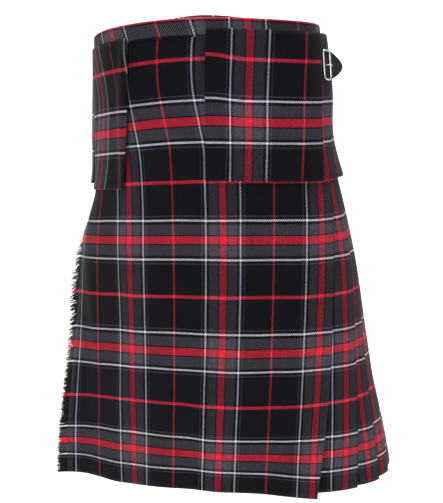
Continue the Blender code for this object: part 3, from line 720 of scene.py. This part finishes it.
def make_pleats(name, first, last, finish, node):
    """Some of the body's knife pleats, which open towards the hem."""
    down = downs_between(BODY_TOP, CLOTH_LENGTH)
    lines = fold_lines(down, apron_fold_edge(down))
    lower = np.clip((down - PLEATS_OPEN_AT) / (CLOTH_LENGTH - PLEATS_OPEN_AT), 0.0, 1.0)
    opening = lower ** PLEATS_OPEN_POWER

    def layer_at(k):
        middle = math.sin(math.pi * min(max(k / PLEATS, 0.0), 1.0)) ** 0.5
        return LAYER + (HEM_LAYER - LAYER) * opening * middle

    along, out, cloth = pleat_columns(lines, first, last, np.zeros(len(down)), layer_at,
                                      LAST_PLEAT_SINK, PLEAT_BULGE * opening)
    piece = cloth_shell(name, lay(along, down[:, None], out), cloth / SETT_ACROSS,
                        in_setts_down(down)[:, None])
    return dress(piece, finish, "tartan_cloth", node)


def make_waistband(finish):
    """The strip over the top edge, its own stripes meeting those of the upper fold."""
    end = float(girth(0.0)) + FRINGE_EDGE - BAND_END_GAP
    around = np.concatenate([evenly(FRINGE_EDGE, FLAP_RIGHT_EDGE, STEP_ALONG),
                             evenly(FLAP_RIGHT_EDGE + BAND_STRIPE_STEP, end, STEP_ALONG)])
    outer = np.linspace(BAND_DEPTH, BAND_CORNER, 8)
    turns = np.radians([0.0, 22.5, 45.0, 67.5, 90.0])
    over = [(BAND_CORNER * (1.0 - math.sin(t)), BAND_OUT - BAND_CORNER * (1.0 - math.cos(t)))
            for t in turns]
    inward = [(BAND_CORNER * (1.0 - math.cos(t)), BAND_IN + BAND_CORNER * (1.0 - math.sin(t)))
              for t in turns]
    section = [(d, BAND_OUT) for d in outer[:-1]] + over
    section += [(0.0, out) for out in np.linspace(BAND_OUT, BAND_IN, 7)[2:-2]]
    section += inward + [(d, BAND_IN) for d in np.linspace(BAND_CORNER, BAND_DEPTH - BAND_CORNER, 5)[1:]]
    down = np.array([d for d, _ in section])
    out = np.array([o for _, o in section])
    points = lay(around[None, :], down[:, None], out[:, None], folds=(), creases=())
    run = np.concatenate([[0.0], np.cumsum(np.hypot(np.diff(down), np.diff(out)))])
    cloth_down = (BAND_DEPTH - run) * BAND_STRETCH
    middle = np.where(cloth_down < BAND_CORNER / 2.0, RED_ON_BAND_TOP,
                      RED_ON_BAND_MIDDLE + BAND_LEAN * (cloth_down - BAND_CORNER))
    sides = np.full(len(section), RED_ON_BAND_SIDES)
    red = np.where(around[None, :] <= FLAP_RIGHT_EDGE, middle[:, None], sides[:, None])
    piece = cloth_shell("cloth_waistband", points, (around[None, :] - red) / SETT_ACROSS,
                        in_setts_down(cloth_down, RED_DOWN_ON_BAND)[:, None])
    return dress(piece, finish, "tartan_cloth", "waistband")


def flap_share(down):
    return (down - FLAP_TOP) / (FLAP_BOTTOM - FLAP_TOP)


def flap_out(down):
    return FLAP_OUT + FLAP_FLARE * flap_share(down)


def flap_fold_edge(down):
    return FLAP_FOLD_EDGE + FLAP_FOLD_LEAN * flap_share(down)


def make_flap_front_left(finish):
    """The upper fold's wide front panel, from its free edge to its folded edge under the strap."""
    down = downs_between(FLAP_TOP, FLAP_BOTTOM)
    hang = flap_share(down)
    edge = flap_fold_edge(down)
    free_edge = FLAP_RIGHT_EDGE + FLAP_EDGE_LEAN * hang
    base = flap_out(down)
    low = PANEL_OUT + (base - PANEL_OUT) * hang
    high = base + 2.0 * FLAP_LAYER + STRAP_ROOM
    rise = np.linspace(0.0, 1.0, FLAP_PARTS)[None, :-1]
    near = free_edge[:, None] + (edge - TURN_UNDER - free_edge)[:, None] * rise
    along, out, cloth = turned_edge(edge, high, FLAP_LAYER, edge - TURN_UNDER, FLAP_PARTS)
    along = np.concatenate([near, along], axis=1)
    out = np.concatenate([low[:, None] + (high - low)[:, None] * rise, out], axis=1)
    cloth = np.concatenate([near, cloth], axis=1)
    points = lay_flap(along, down[:, None], out)
    lean = FLAP_STRIPE_LEAN * hang[:, None]
    near_edge = 1.0 - ease((along - free_edge[:, None]) / FLAP_RISE_RUN)
    lower = ease((down[:, None] - FLAP_RISE_FROM) / (FLAP_RISE_TO - FLAP_RISE_FROM))
    lift = FLAP_RISE * near_edge * (1.0 - lower)
    across = (cloth - RED_ON_FLAP_RIGHT - lean) / SETT_ACROSS
    piece = cloth_shell("cloth_upper_fold_front_left", points, across,
                        in_setts_down(down[:, None] + lift))
    return dress(piece, finish, "tartan_upper_fold", "upper_fold_front_left")


def make_flap_pleats(name, first, last, finish, node):
    """Some of the upper fold's knife pleats."""
    down = downs_between(FLAP_TOP, FLAP_BOTTOM)
    lines = fold_lines(down, flap_fold_edge(down))
    base = flap_out(down) + 2.0 * FLAP_LAYER
    layer = np.full(len(down), FLAP_LAYER)
    along, out, cloth = pleat_columns(lines, first, last, base, lambda k: layer, 0.0, 0.0)
    piece = cloth_shell(name, lay_flap(along, down[:, None], out), cloth / SETT_ACROSS,
                        in_setts_down(down)[:, None])
    return dress(piece, finish, "tartan_upper_fold", node)


def make_flap_front_right(finish):
    """The upper fold's narrow front panel, whose soft folds take up cloth and bend its stripes."""
    down = downs_between(FLAP_TOP, FLAP_BOTTOM)
    start = last_turn(down, fold_lines(down, flap_fold_edge(down)))
    free_edge = FLAP_LEFT_EDGE + FLAP_LEFT_LEAN * flap_share(down) ** FLAP_LEFT_CURVE
    share = np.linspace(0.0, 1.0, FLAP_LEFT_PARTS)[None, :]
    along = start[:, None] + (free_edge - start)[:, None] * share
    drop = (FLAP_DROP_TOP + (FLAP_DROP_HEM - FLAP_DROP_TOP) * flap_share(down))[:, None]
    hung = down[:, None] + drop * ease((along - start[:, None]) / FLAP_DROP_RUN)
    points = lay_flap(along, hung, (flap_out(down) - LAST_FLAP_SINK)[:, None])
    red, taken_up = (read_column(FLAP_WEAVE, FLAP_WEAVE_COLUMNS, name, down)[:, None]
                     for name in FLAP_WEAVE_COLUMNS[1:])
    near = np.maximum(along, FLAP_FOLDS_END)
    at_end = (FLAP_FOLDS_END - red) * taken_up
    level_out = (FLAP_TAKEN_UP_BEHIND - at_end) * ease((FLAP_FOLDS_END - along) / FLAP_FOLDS_FADE)
    cloth = (near - red) * taken_up + (along - near) + level_out
    piece = cloth_shell("cloth_upper_fold_front_right", points, cloth / SETT_ACROSS,
                        in_setts_down(down)[:, None])
    return dress(piece, finish, "tartan_upper_fold", "upper_fold_front_right")


def hip_place(distance, out, drop):
    """Places of the strap group: on the hip up to the front panel's fold edge, then standing off it."""
    distance, out, drop = np.broadcast_arrays(*(np.asarray(a, dtype=float)
                                                for a in (distance, out, drop)))
    edge = float(flap_fold_edge(STRAP_DOWN))
    points = lay(edge + np.minimum(distance, 0.0), STRAP_DOWN + drop, STRAP_OUT + out,
                 folds=(), creases=())
    _, outward = ring_places(np.array([edge]), np.array([STRAP_DOWN]), girth(STRAP_DOWN))
    heading = math.atan2(outward[0, 1], outward[0, 0]) + math.pi / 2.0 - STRAP_STAND_OFF
    past = np.maximum(distance, 0.0)[..., None]
    return points + past * np.array([math.cos(heading), math.sin(heading), -STRAP_FALL])


def strap_half(distance):
    """Half the strap's width, which narrows to its point."""
    t = np.clip((distance - STRAP_TIP_START) / (STRAP_TIP_END - STRAP_TIP_START), 0.0, 1.0)
    return STRAP_WIDTH / 2.0 * np.maximum((1.0 - t) ** STRAP_TIP_POWER, STRAP_TIP_SHARE)


def thick_strip(name, points, thick, finish, node):
    """A leather strip through points, its edges worn round."""
    piece = cloth_shell(name, points, 0.0, 0.0, thick)
    worn = piece.modifiers.new("worn edges", "BEVEL")
    worn.width = thick * WORN_EDGE_SHARE
    worn.segments = 3
    worn.limit_method = "ANGLE"
    worn.angle_limit = SHARP_ANGLE
    return dress(piece, finish, "strap_leather", node)


def make_strap(finish):
    """The strap, from under the front panel's folded edge to its pointed tip."""
    distance = np.concatenate([evenly(STRAP_START, STRAP_TIP_START, STRAP_STEP),
                               evenly(STRAP_TIP_START, STRAP_TIP_END, STRAP_TIP_STEP)[1:]])
    across = np.linspace(-1.0, 1.0, STRAP_PARTS)
    points = hip_place(distance[:, None], 0.0, strap_half(distance)[:, None] * across[None, :])
    return thick_strip("strap", points, STRAP_THICK, finish, "hip_strap")


def make_tab(finish):
    """The short leather tab behind the buckle."""
    ends, outs = zip(*TAB)
    distance = evenly(ends[0], ends[-1], TAB_STEP)
    out = np.interp(distance, ends, outs)
    along = float(flap_fold_edge(STRAP_DOWN)) + distance
    drop = TAB_WIDTH / 2.0 * np.linspace(-1.0, 1.0, TAB_PARTS)
    points = lay(along[:, None], STRAP_DOWN + drop[None, :], out[:, None], folds=(), creases=())
    return thick_strip("buckle_tab", points, TAB_THICK, finish, "hip_buckle_tab")


def bar(name, points, radius, finish, node, closed):
    """A smooth round bar through points."""
    curve = bpy.data.curves.new(name, "CURVE")
    curve.dimensions = "3D"
    curve.bevel_depth = radius
    curve.bevel_resolution = 4
    curve.use_fill_caps = not closed
    line = curve.splines.new("POLY")
    line.points.add(len(points) - 1)
    for spot, point in zip(line.points, points):
        spot.co = (*(float(value) for value in point), 1.0)
    line.use_cyclic_u = closed
    return dress(add_object(name, curve), finish, "buckle_metal", node)


def make_buckle(finish):
    """The buckle's rounded frame, and its prong, which lies on the strap and across the frame."""
    half_w, half_h = BUCKLE_WIDTH / 2.0, BUCKLE_HEIGHT / 2.0
    lift = (STRAP_THICK + BUCKLE_BAR) / 2.0 + REST_GAP
    across, drop = [], []
    for sx, sz, start in ((1, 1, 0), (-1, 1, 90), (-1, -1, 180), (1, -1, 270)):
        for angle in np.radians(start + np.linspace(0.0, 90.0, 9)):
            across.append(sx * (half_w - BUCKLE_CORNER) + BUCKLE_CORNER * math.cos(angle))
            drop.append(-(sz * (half_h - BUCKLE_CORNER) + BUCKLE_CORNER * math.sin(angle)))
    points = hip_place(BUCKLE_MIDDLE + np.array(across), lift, np.array(drop))
    bar("buckle_frame", points, BUCKLE_BAR / 2.0, finish, "hip_buckle_frame", True)
    rest = (STRAP_THICK + PRONG_BAR) / 2.0 + REST_GAP
    top = STRAP_THICK / 2.0 + BUCKLE_BAR + PRONG_BAR / 2.0 + 2.0 * REST_GAP
    share = np.linspace(0.0, 1.0, 15)
    across = half_w * (PRONG_START + PRONG_RUN * share)
    rise = (top - rest) * ease((share - PRONG_RISE_FROM) / PRONG_RISE_OVER)
    points = hip_place(BUCKLE_MIDDLE + across, rest + rise, 0.0)
    return bar("buckle_prong", points, PRONG_BAR / 2.0, finish, "hip_buckle_prong", False)


def add_capsule(shape, a, b, radius):
    """A short thread between two points, pointed at both ends."""
    run = (b - a).normalized()
    side = run.orthogonal().normalized()
    other = run.cross(side)
    rings = []
    for share, part in ((0.15, 0.8), (0.5, 1.0), (0.85, 0.8)):
        middle = a.lerp(b, share)
        rings.append([shape.verts.new(middle + (side * math.cos(t) + other * math.sin(t)) * radius * part)
                      for t in (0.0, math.pi / 2.0, math.pi, 1.5 * math.pi)])
    ends = (shape.verts.new(a), shape.verts.new(b))
    for k in range(4):
        m = (k + 1) % 4
        shape.faces.new((ends[0], rings[0][m], rings[0][k]))
        shape.faces.new((rings[2][k], rings[2][m], ends[1]))
        for lower, upper in ((0, 1), (1, 2)):
            shape.faces.new((rings[lower][k], rings[lower][m], rings[upper][m], rings[upper][k]))


def make_stitches(finish):
    """The waxed black thread sewn along the strap's edges."""
    shape = bmesh.new()
    distance = np.arange(STRAP_START, STRAP_TIP_END - STITCHES_END, STITCH_SPACING)
    half = strap_half(distance) - STITCH_INSET
    top = STRAP_THICK / 2.0 + STITCH_RADIUS * STITCH_PROUD
    for side in (-1.0, 1.0):
        for d, h in zip(distance, half):
            if h < STITCH_INSET:
                continue
            ahead = float(strap_half(d + STITCH_LENGTH) - STITCH_INSET)
            a = Vector(hip_place(d, top, side * h).tolist())
            b = Vector(hip_place(d + STITCH_LENGTH, top, side * ahead).tolist())
            add_capsule(shape, a, b, STITCH_RADIUS)
    mesh = bpy.data.meshes.new("strap_stitches")
    shape.to_mesh(mesh)
    shape.free()
    mesh.shade_smooth()
    return dress(add_object("strap_stitches", mesh), finish, "strap_leather")


def add_node(tree, kind, inputs=(), **settings):
    """Adds a node with its settings. An input is given a value, or a socket to be linked from."""
    made = tree.nodes.new(kind)
    for name, value in settings.items():
        setattr(made, name, value)
    for key, value in dict(inputs).items():
        if isinstance(value, bpy.types.NodeSocket):
            tree.links.new(value, made.inputs[key])
        else:
            made.inputs[key].default_value = value
    return made


def new_material(name):
    made = bpy.data.materials.new(name)
    made.use_nodes = True
    tree = made.node_tree
    shader = tree.nodes["Principled BSDF"]
    return made, tree, shader


def stripes(tree, setts, order, colours):
    """One direction's yarn colours, read from its place in the sett, which mirrors at every half."""
    folded = add_node(tree, "ShaderNodeMath", {0: setts, 1: 0.5}, operation="PINGPONG")
    share = add_node(tree, "ShaderNodeMath", {0: folded.outputs[0], 1: 2.0}, operation="MULTIPLY")
    ramp = add_node(tree, "ShaderNodeValToRGB", {"Fac": share.outputs[0]})
    band = ramp.color_ramp
    while len(band.elements) < len(order):
        band.elements.new(0.5)
    for element, (position, _) in zip(band.elements, order):
        element.position = position
    for element, (_, name) in zip(band.elements, order):
        element.color = colours[name]
    return ramp.outputs["Color"]


def yarn_colours(sizes):
    return {"red": (*sizes.red, 1.0), "black": (*sizes.black, 1.0), "grey": (*sizes.grey, 1.0),
            "white": (*sizes.white, 1.0), "pin": (*sizes.pin_line, 1.0)}


def scaled(tree, value, factor):
    return add_node(tree, "ShaderNodeMath", {0: value, 1: factor}, operation="MULTIPLY").outputs[0]


def noise(tree, place, grain, detail, low, high):
    """Uneven dye: a noise whose grain is a real size, as a factor between low and high."""
    made = add_node(tree, "ShaderNodeTexNoise", {"Vector": place, "Scale": 1.0 / grain, "Detail": detail,
                                                 "Roughness": 0.6})
    spread = add_node(tree, "ShaderNodeMapRange", {"Value": made.outputs["Fac"], "From Min": 0.28,
                                                   "From Max": 0.72, "To Min": low, "To Max": high})
    return spread.outputs[0]


def tartan_wool(sizes):
    """Wool twill, woven from dyed yarn: matt, soft at its edges, with a fine diagonal rib.

    Where two stripes cross, warp and weft show in turn along the rib, the weft a little more.
    """
    made, tree, shader = new_material("tartan wool twill")
    colours = yarn_colours(sizes)
    woven = add_node(tree, "ShaderNodeAttribute", attribute_name="cloth", attribute_type="GEOMETRY")
    place = add_node(tree, "ShaderNodeVectorMath",
                     {0: woven.outputs["Vector"], 1: (SETT_ACROSS, SETT_DOWN, 1.0)},
                     operation="MULTIPLY").outputs[0]
    # A hand-sized piece of cloth is never quite straight: its stripes waver by a fraction of a millimetre
    waver = add_node(tree, "ShaderNodeTexNoise",
                     {"Vector": place, "Scale": 1.0 / WAVER_PATCH, "Detail": 1.0})
    offset = add_node(tree, "ShaderNodeVectorMath", {0: waver.outputs["Color"], 1: (0.5, 0.5, 0.5)},
                      operation="SUBTRACT")
    wavered = add_node(tree, "ShaderNodeVectorMath",
                       {0: offset.outputs[0], 1: (WAVER_SETTS, WAVER_SETTS, 0.0),
                        2: woven.outputs["Vector"]},
                       operation="MULTIPLY_ADD")
    split = add_node(tree, "ShaderNodeSeparateXYZ", {0: wavered.outputs[0]})
    across, downward = split.outputs["X"], split.outputs["Y"]
    # The eye blends fine dashes by their apparent lightness, so the two colours are mixed on that scale
    warp = add_node(tree, "ShaderNodeGamma",
                    {"Color": stripes(tree, across, WARP_STRIPES, colours), "Gamma": 1.0 / EYE})
    weft = add_node(tree, "ShaderNodeGamma",
                    {"Color": stripes(tree, downward, STRIPES, colours), "Gamma": 1.0 / EYE})
    # Four threads make one rib of the twill. It is a little coarser than real, so that it shows.
    threads = add_node(tree, "ShaderNodeMath",
                       {0: downward, 1: SETT_DOWN / sizes.thread_spacing,
                        2: scaled(tree, across, SETT_ACROSS / sizes.thread_spacing)},
                       operation="MULTIPLY_ADD")
    rib = add_node(tree, "ShaderNodeMath", {0: threads.outputs[0], 1: 2.0}, operation="PINGPONG")
    on_top = add_node(tree, "ShaderNodeMapRange",
                      {"Value": rib.outputs[0], "From Min": 0.5, "From Max": 1.5,
                       "To Min": WEFT_ON_TOP[0], "To Max": WEFT_ON_TOP[1]},
                      interpolation_type="SMOOTHSTEP")
    mixed = add_node(tree, "ShaderNodeMix",
                     {0: on_top.outputs[0], 6: warp.outputs[0], 7: weft.outputs[0]}, data_type="RGBA")
    woven_colour = add_node(tree, "ShaderNodeGamma", {"Color": mixed.outputs[2], "Gamma": EYE})
    # Yarn takes dye unevenly, which gives the grey and black their mottled look, and each yarn a streak
    fine = noise(tree, place, DYE_GRAIN, 3.0, 0.52, 1.50)
    broad = noise(tree, place, DYE_PATCH, 2.0, 0.90, 1.12)
    along_warp = add_node(tree, "ShaderNodeVectorMath", {0: place, 1: (1.0, 0.05, 1.0)},
                          operation="MULTIPLY")
    streak = noise(tree, along_warp.outputs[0], STREAK_WIDTH, 2.0, 0.82, 1.20)
    both = add_node(tree, "ShaderNodeMath", {0: fine, 1: broad}, operation="MULTIPLY")
    all_three = add_node(tree, "ShaderNodeMath", {0: both.outputs[0], 1: streak}, operation="MULTIPLY")
    dyed = add_node(tree, "ShaderNodeVectorMath",
                    {0: woven_colour.outputs[0], "Scale": all_three.outputs[0]}, operation="SCALE")
    # Black wool takes a navy cast in places
    cast = add_node(tree, "ShaderNodeMix",
                    {0: noise(tree, place, NAVY_PATCH, 1.0, 0.0, 1.0), 6: (1.0, 1.0, 1.0, 1.0),
                     7: NAVY_CAST}, data_type="RGBA")
    tinted = add_node(tree, "ShaderNodeVectorMath", {0: dyed.outputs[0], 1: cast.outputs[2]},
                      operation="MULTIPLY")
    tree.links.new(tinted.outputs[0], shader.inputs["Base Color"])
    height = add_node(tree, "ShaderNodeMath", {0: fine, 1: 0.6, 2: on_top.outputs[0]},
                      operation="MULTIPLY_ADD")
    bump = add_node(tree, "ShaderNodeBump", {"Strength": 0.35, "Distance": RIB_HEIGHT,
                                             "Height": height.outputs[0]})
    tree.links.new(bump.outputs[0], shader.inputs["Normal"])
    shader.inputs["Roughness"].default_value = 0.88
    shader.inputs["Specular IOR Level"].default_value = 0.15
    shader.inputs["Sheen Weight"].default_value = 0.06
    shader.inputs["Sheen Roughness"].default_value = 0.5
    return made


def frayed_wool(sizes):
    """Loose weft yarns of the same wool, unwoven, so each has only its own stripe's colour."""
    made, tree, shader = new_material("frayed wool yarn")
    woven = add_node(tree, "ShaderNodeAttribute", attribute_name="cloth", attribute_type="GEOMETRY")
    split = add_node(tree, "ShaderNodeSeparateXYZ", {0: woven.outputs["Vector"]})
    colour = stripes(tree, split.outputs["Y"], STRIPES, yarn_colours(sizes))
    place = add_node(tree, "ShaderNodeTexCoord").outputs["Object"]
    uneven = noise(tree, place, LOOSE_YARN_GRAIN, 2.0, 0.75, 1.35)
    dyed = add_node(tree, "ShaderNodeVectorMath", {0: colour, "Scale": uneven}, operation="SCALE")
    tree.links.new(dyed.outputs[0], shader.inputs["Base Color"])
    shader.inputs["Roughness"].default_value = 0.92
    shader.inputs["Specular IOR Level"].default_value = 0.15
    shader.inputs["Sheen Weight"].default_value = 0.15
    return made


def black_leather():
    """Black finished cowhide: a soft gloss broken by fine grain, duller where it has been rubbed."""
    made, tree, shader = new_material("black strap leather")
    place = add_node(tree, "ShaderNodeTexCoord").outputs["Object"]
    grain = add_node(tree, "ShaderNodeTexVoronoi", {"Vector": place, "Scale": 1.0 / LEATHER_GRAIN})
    rubbed = noise(tree, place, LEATHER_RUBBED_PATCH, 3.0, 0.34, 0.56)
    tone = noise(tree, place, LEATHER_TONE_PATCH, 2.0, 0.75, 1.30)
    base = add_node(tree, "ShaderNodeRGB")
    base.outputs[0].default_value = linear("#1d1d20")
    dyed = add_node(tree, "ShaderNodeVectorMath", {0: base.outputs[0], "Scale": tone}, operation="SCALE")
    tree.links.new(dyed.outputs[0], shader.inputs["Base Color"])
    tree.links.new(rubbed, shader.inputs["Roughness"])
    bump = add_node(tree, "ShaderNodeBump", {"Strength": 0.25, "Distance": LEATHER_GRAIN_DEPTH,
                                             "Height": grain.outputs["Distance"]})
    tree.links.new(bump.outputs[0], shader.inputs["Normal"])
    shader.inputs["Specular IOR Level"].default_value = 0.45
    return made


def waxed_thread():
    """Black waxed thread: a dull sheen on a twisted yarn."""
    made, tree, shader = new_material("waxed black thread")
    place = add_node(tree, "ShaderNodeTexCoord").outputs["Object"]
    tone = noise(tree, place, THREAD_TONE_PATCH, 2.0, 0.7, 1.4)
    base = add_node(tree, "ShaderNodeRGB")
    base.outputs[0].default_value = linear("#2a2a2c")
    dyed = add_node(tree, "ShaderNodeVectorMath", {0: base.outputs[0], "Scale": tone}, operation="SCALE")
    tree.links.new(dyed.outputs[0], shader.inputs["Base Color"])
    shader.inputs["Roughness"].default_value = 0.5
    return made


def chromed_steel():
    """Chromed steel: a bright, slightly cool mirror with faint haze and hairline scratches."""
    made, tree, shader = new_material("chromed steel")
    place = add_node(tree, "ShaderNodeTexCoord").outputs["Object"]
    drawn = add_node(tree, "ShaderNodeVectorMath", {0: place, 1: (1.0, 1.0, 0.08)}, operation="MULTIPLY")
    haze = noise(tree, drawn.outputs[0], HAIRLINE_WIDTH, 3.0, 0.10, 0.24)
    tree.links.new(haze, shader.inputs["Roughness"])
    shader.inputs["Base Color"].default_value = linear("#d9dade")
    shader.inputs["Metallic"].default_value = 1.0
    return made


def area_light(name, place, target, size, power, colour):
    """A rectangular softbox, turned towards its target."""
    lamp = bpy.data.lights.new(name, "AREA")
    lamp.shape = "RECTANGLE"
    lamp.size, lamp.size_y = size
    lamp.energy = power
    lamp.color = linear(colour)[:3]
    made = add_object(name, lamp)
    made.location = place
    made.rotation_euler = (Vector(target) - Vector(place)).to_track_quat("-Z", "Y").to_euler()


def make_floor():
    """Matt pale paper that curves up from the floor into a backdrop."""
    outline = [(FLOOR_FRONT, 0.0)]
    for step in range(FLOOR_TURN_STEPS + 1):
        turn = math.radians(90.0 * step / FLOOR_TURN_STEPS)
        rise = FLOOR_RADIUS * (1.0 - math.cos(turn))
        outline.append((FLOOR_BACK + FLOOR_RADIUS * math.sin(turn), rise))
    outline.append((FLOOR_BACK + FLOOR_RADIUS, BACKDROP_TOP))
    level = CAD_BOX_LOW - FLOOR_BELOW
    shape = bmesh.new()
    left, right = ([shape.verts.new((x, y, level + z)) for y, z in outline]
                   for x in (-FLOOR_HALF_WIDTH, FLOOR_HALF_WIDTH))
    for i in range(len(outline) - 1):
        shape.faces.new((left[i], right[i], right[i + 1], left[i + 1]))
    mesh = bpy.data.meshes.new("studio_floor")
    shape.to_mesh(mesh)
    shape.free()
    mesh.shade_smooth()
    made, _, shader = new_material("matt pale studio paper")
    shader.inputs["Base Color"].default_value = linear("#f6f6f6")
    shader.inputs["Roughness"].default_value = 0.9
    mesh.materials.append(made)
    add_object("studio_floor", mesh)


def make_stage(sizes):
    """The floor, soft lights in a pale room, and the camera."""
    make_floor()
    for name, place, target, size, power, colour in LIGHTS:
        area_light(name, place, target, size, power * sizes.brightness, colour)
    world = bpy.data.worlds.new("pale room")
    world.use_nodes = True
    sky = world.node_tree.nodes["Background"]
    sky.inputs["Color"].default_value = linear("#ffffff")
    sky.inputs["Strength"].default_value = ROOM_LIGHT * sizes.brightness
    bpy.context.scene.world = world
    bpy.context.scene.view_settings.view_transform = "Standard"

    lens = bpy.data.cameras.new("camera")
    lens.sensor_fit = "VERTICAL"
    lens.sensor_height = 24.0
    lens.lens = lens.sensor_height * sizes.focal_share
    lens.shift_y = sizes.shift
    camera = add_object("camera", lens)
    camera.location = (0.0, -sizes.distance, sizes.height)
    camera.rotation_euler = (math.pi / 2.0 - sizes.pitch, 0.0, 0.0)
    bpy.context.scene.camera = camera


class KiltSizes(bpy.types.PropertyGroup):
    """The sizes and colours of the cloth that a user would change."""

    thread_spacing: FloatProperty(name="Thread spacing",
                                  description="Distance between two yarns of the weave",
                                  default=0.00072, unit="LENGTH", precision=5)
    red: FloatVectorProperty(name="Red", description="Colour of the red yarn", subtype="COLOR",
                             default=linear("#f02c42")[:3])
    black: FloatVectorProperty(name="Black", description="Colour of the black yarn", subtype="COLOR",
                               default=linear("#0d0c12")[:3])
    grey: FloatVectorProperty(name="Grey", description="Colour of the grey yarn", subtype="COLOR",
                              default=linear("#4e4c51")[:3])
    white: FloatVectorProperty(name="White", description="Colour of the white yarn", subtype="COLOR",
                               default=linear("#fdfdff")[:3])
    pin_line: FloatVectorProperty(name="Pin line", subtype="COLOR",
                                  description="Colour of the faint line by the white one",
                                  default=linear("#4e4d57")[:3])


class StageSizes(bpy.types.PropertyGroup):
    """The stage's camera and lights."""

    distance: FloatProperty(name="Camera distance", default=1.2497, unit="LENGTH",
                            description="Camera to the middle of the waist, level")
    height: FloatProperty(name="Camera height", description="Camera above the top edge", default=0.0172,
                          unit="LENGTH")
    pitch: FloatProperty(name="Camera pitch", description="How far the camera looks down",
                         default=math.radians(15.36), subtype="ANGLE")
    focal_share: FloatProperty(name="Focal length", description="Focal length over the picture's height",
                               default=942.1 / 503.0)
    shift: FloatProperty(name="Upward shift", description="Upward shift of the view over its height",
                         default=9.69 / 503.0)
    brightness: FloatProperty(name="Brightness", description="Share of the lights' full power",
                              default=1.0, min=0.0)


class KILT_OT_body_cloth(bpy.types.Operator):
    """Lays the aprons and the pleated cloth on the kilt's form"""

    bl_idname = "kilt.body_cloth"
    bl_label = "Aprons and pleats"

    def execute(self, context):
        finish = tartan_wool(context.scene.kilt_sizes)
        make_over_apron(finish)
        make_under_apron(finish)
        make_pleats("cloth_pleats_left_hip", 1, 7, finish, "pleats_left_hip")
        make_pleats("cloth_pleats_back", 8, 13, finish, "pleats_back")
        make_pleats("cloth_pleats_right_hip", 14, PLEATS, finish, "pleats_right_hip")
        return {"FINISHED"}


class KILT_OT_waistband(bpy.types.Operator):
    """Folds the waistband over the top edge"""

    bl_idname = "kilt.waistband"
    bl_label = "Waistband"

    def execute(self, context):
        make_waistband(bpy.data.materials["tartan wool twill"])
        return {"FINISHED"}


class KILT_OT_upper_fold(bpy.types.Operator):
    """Hangs the short upper layer over the waistband, open in front"""

    bl_idname = "kilt.upper_fold"
    bl_label = "Upper fold"

    def execute(self, context):
        finish = bpy.data.materials["tartan wool twill"]
        make_flap_front_left(finish)
        make_flap_pleats("cloth_upper_fold_left_back", 1, 10, finish, "upper_fold_left_back")
        make_flap_pleats("cloth_upper_fold_right_back", 11, PLEATS, finish, "upper_fold_right_back")
        make_flap_front_right(finish)
        return {"FINISHED"}


class KILT_OT_fringe(bpy.types.Operator):
    """Adds the loose yarns of the frayed edge"""

    bl_idname = "kilt.fringe"
    bl_label = "Frayed edge"

    def execute(self, context):
        make_fringe(frayed_wool(context.scene.kilt_sizes))
        return {"FINISHED"}


class KILT_OT_strap(bpy.types.Operator):
    """Adds the leather strap and tab with the chromed buckle"""

    bl_idname = "kilt.strap"
    bl_label = "Strap and buckle"

    def execute(self, context):
        leather = black_leather()
        make_strap(leather)
        make_tab(leather)
        make_stitches(waxed_thread())
        make_buckle(chromed_steel())
        return {"FINISHED"}


class KILT_OT_stage(bpy.types.Operator):
    """Sets up the floor, the backdrop, the lights and the camera"""

    bl_idname = "kilt.stage"
    bl_label = "Stage"

    def execute(self, context):
        make_stage(context.scene.kilt_stage)
        return {"FINISHED"}


class KILT_PT_panel(bpy.types.Panel):
    """Lists the kilt's pieces in the sidebar"""

    bl_label = "Kilt"
    bl_idname = "KILT_PT_panel"
    bl_space_type = "VIEW_3D"
    bl_region_type = "UI"
    bl_category = "Kilt"

    def draw(self, context):
        for group in (context.scene.kilt_sizes, context.scene.kilt_stage):
            for name in group.__annotations__:
                self.layout.prop(group, name)
        for operator in OPERATORS:
            self.layout.operator(operator.bl_idname)


OPERATORS = (KILT_OT_body_cloth, KILT_OT_waistband, KILT_OT_upper_fold, KILT_OT_fringe, KILT_OT_strap,
             KILT_OT_stage)
CLASSES = (KiltSizes, StageSizes) + OPERATORS + (KILT_PT_panel,)


def register():
    for cls in CLASSES:
        bpy.utils.register_class(cls)
    bpy.types.Scene.kilt_sizes = PointerProperty(type=KiltSizes)
    bpy.types.Scene.kilt_stage = PointerProperty(type=StageSizes)


def unregister():
    del bpy.types.Scene.kilt_stage
    del bpy.types.Scene.kilt_sizes
    for cls in reversed(CLASSES):
        bpy.utils.unregister_class(cls)


def main():
    register()
    bpy.ops.kilt.body_cloth()
    bpy.ops.kilt.waistband()
    bpy.ops.kilt.upper_fold()
    bpy.ops.kilt.fringe()
    bpy.ops.kilt.strap()
    bpy.ops.kilt.stage()


if __name__ == "__main__":
    main()
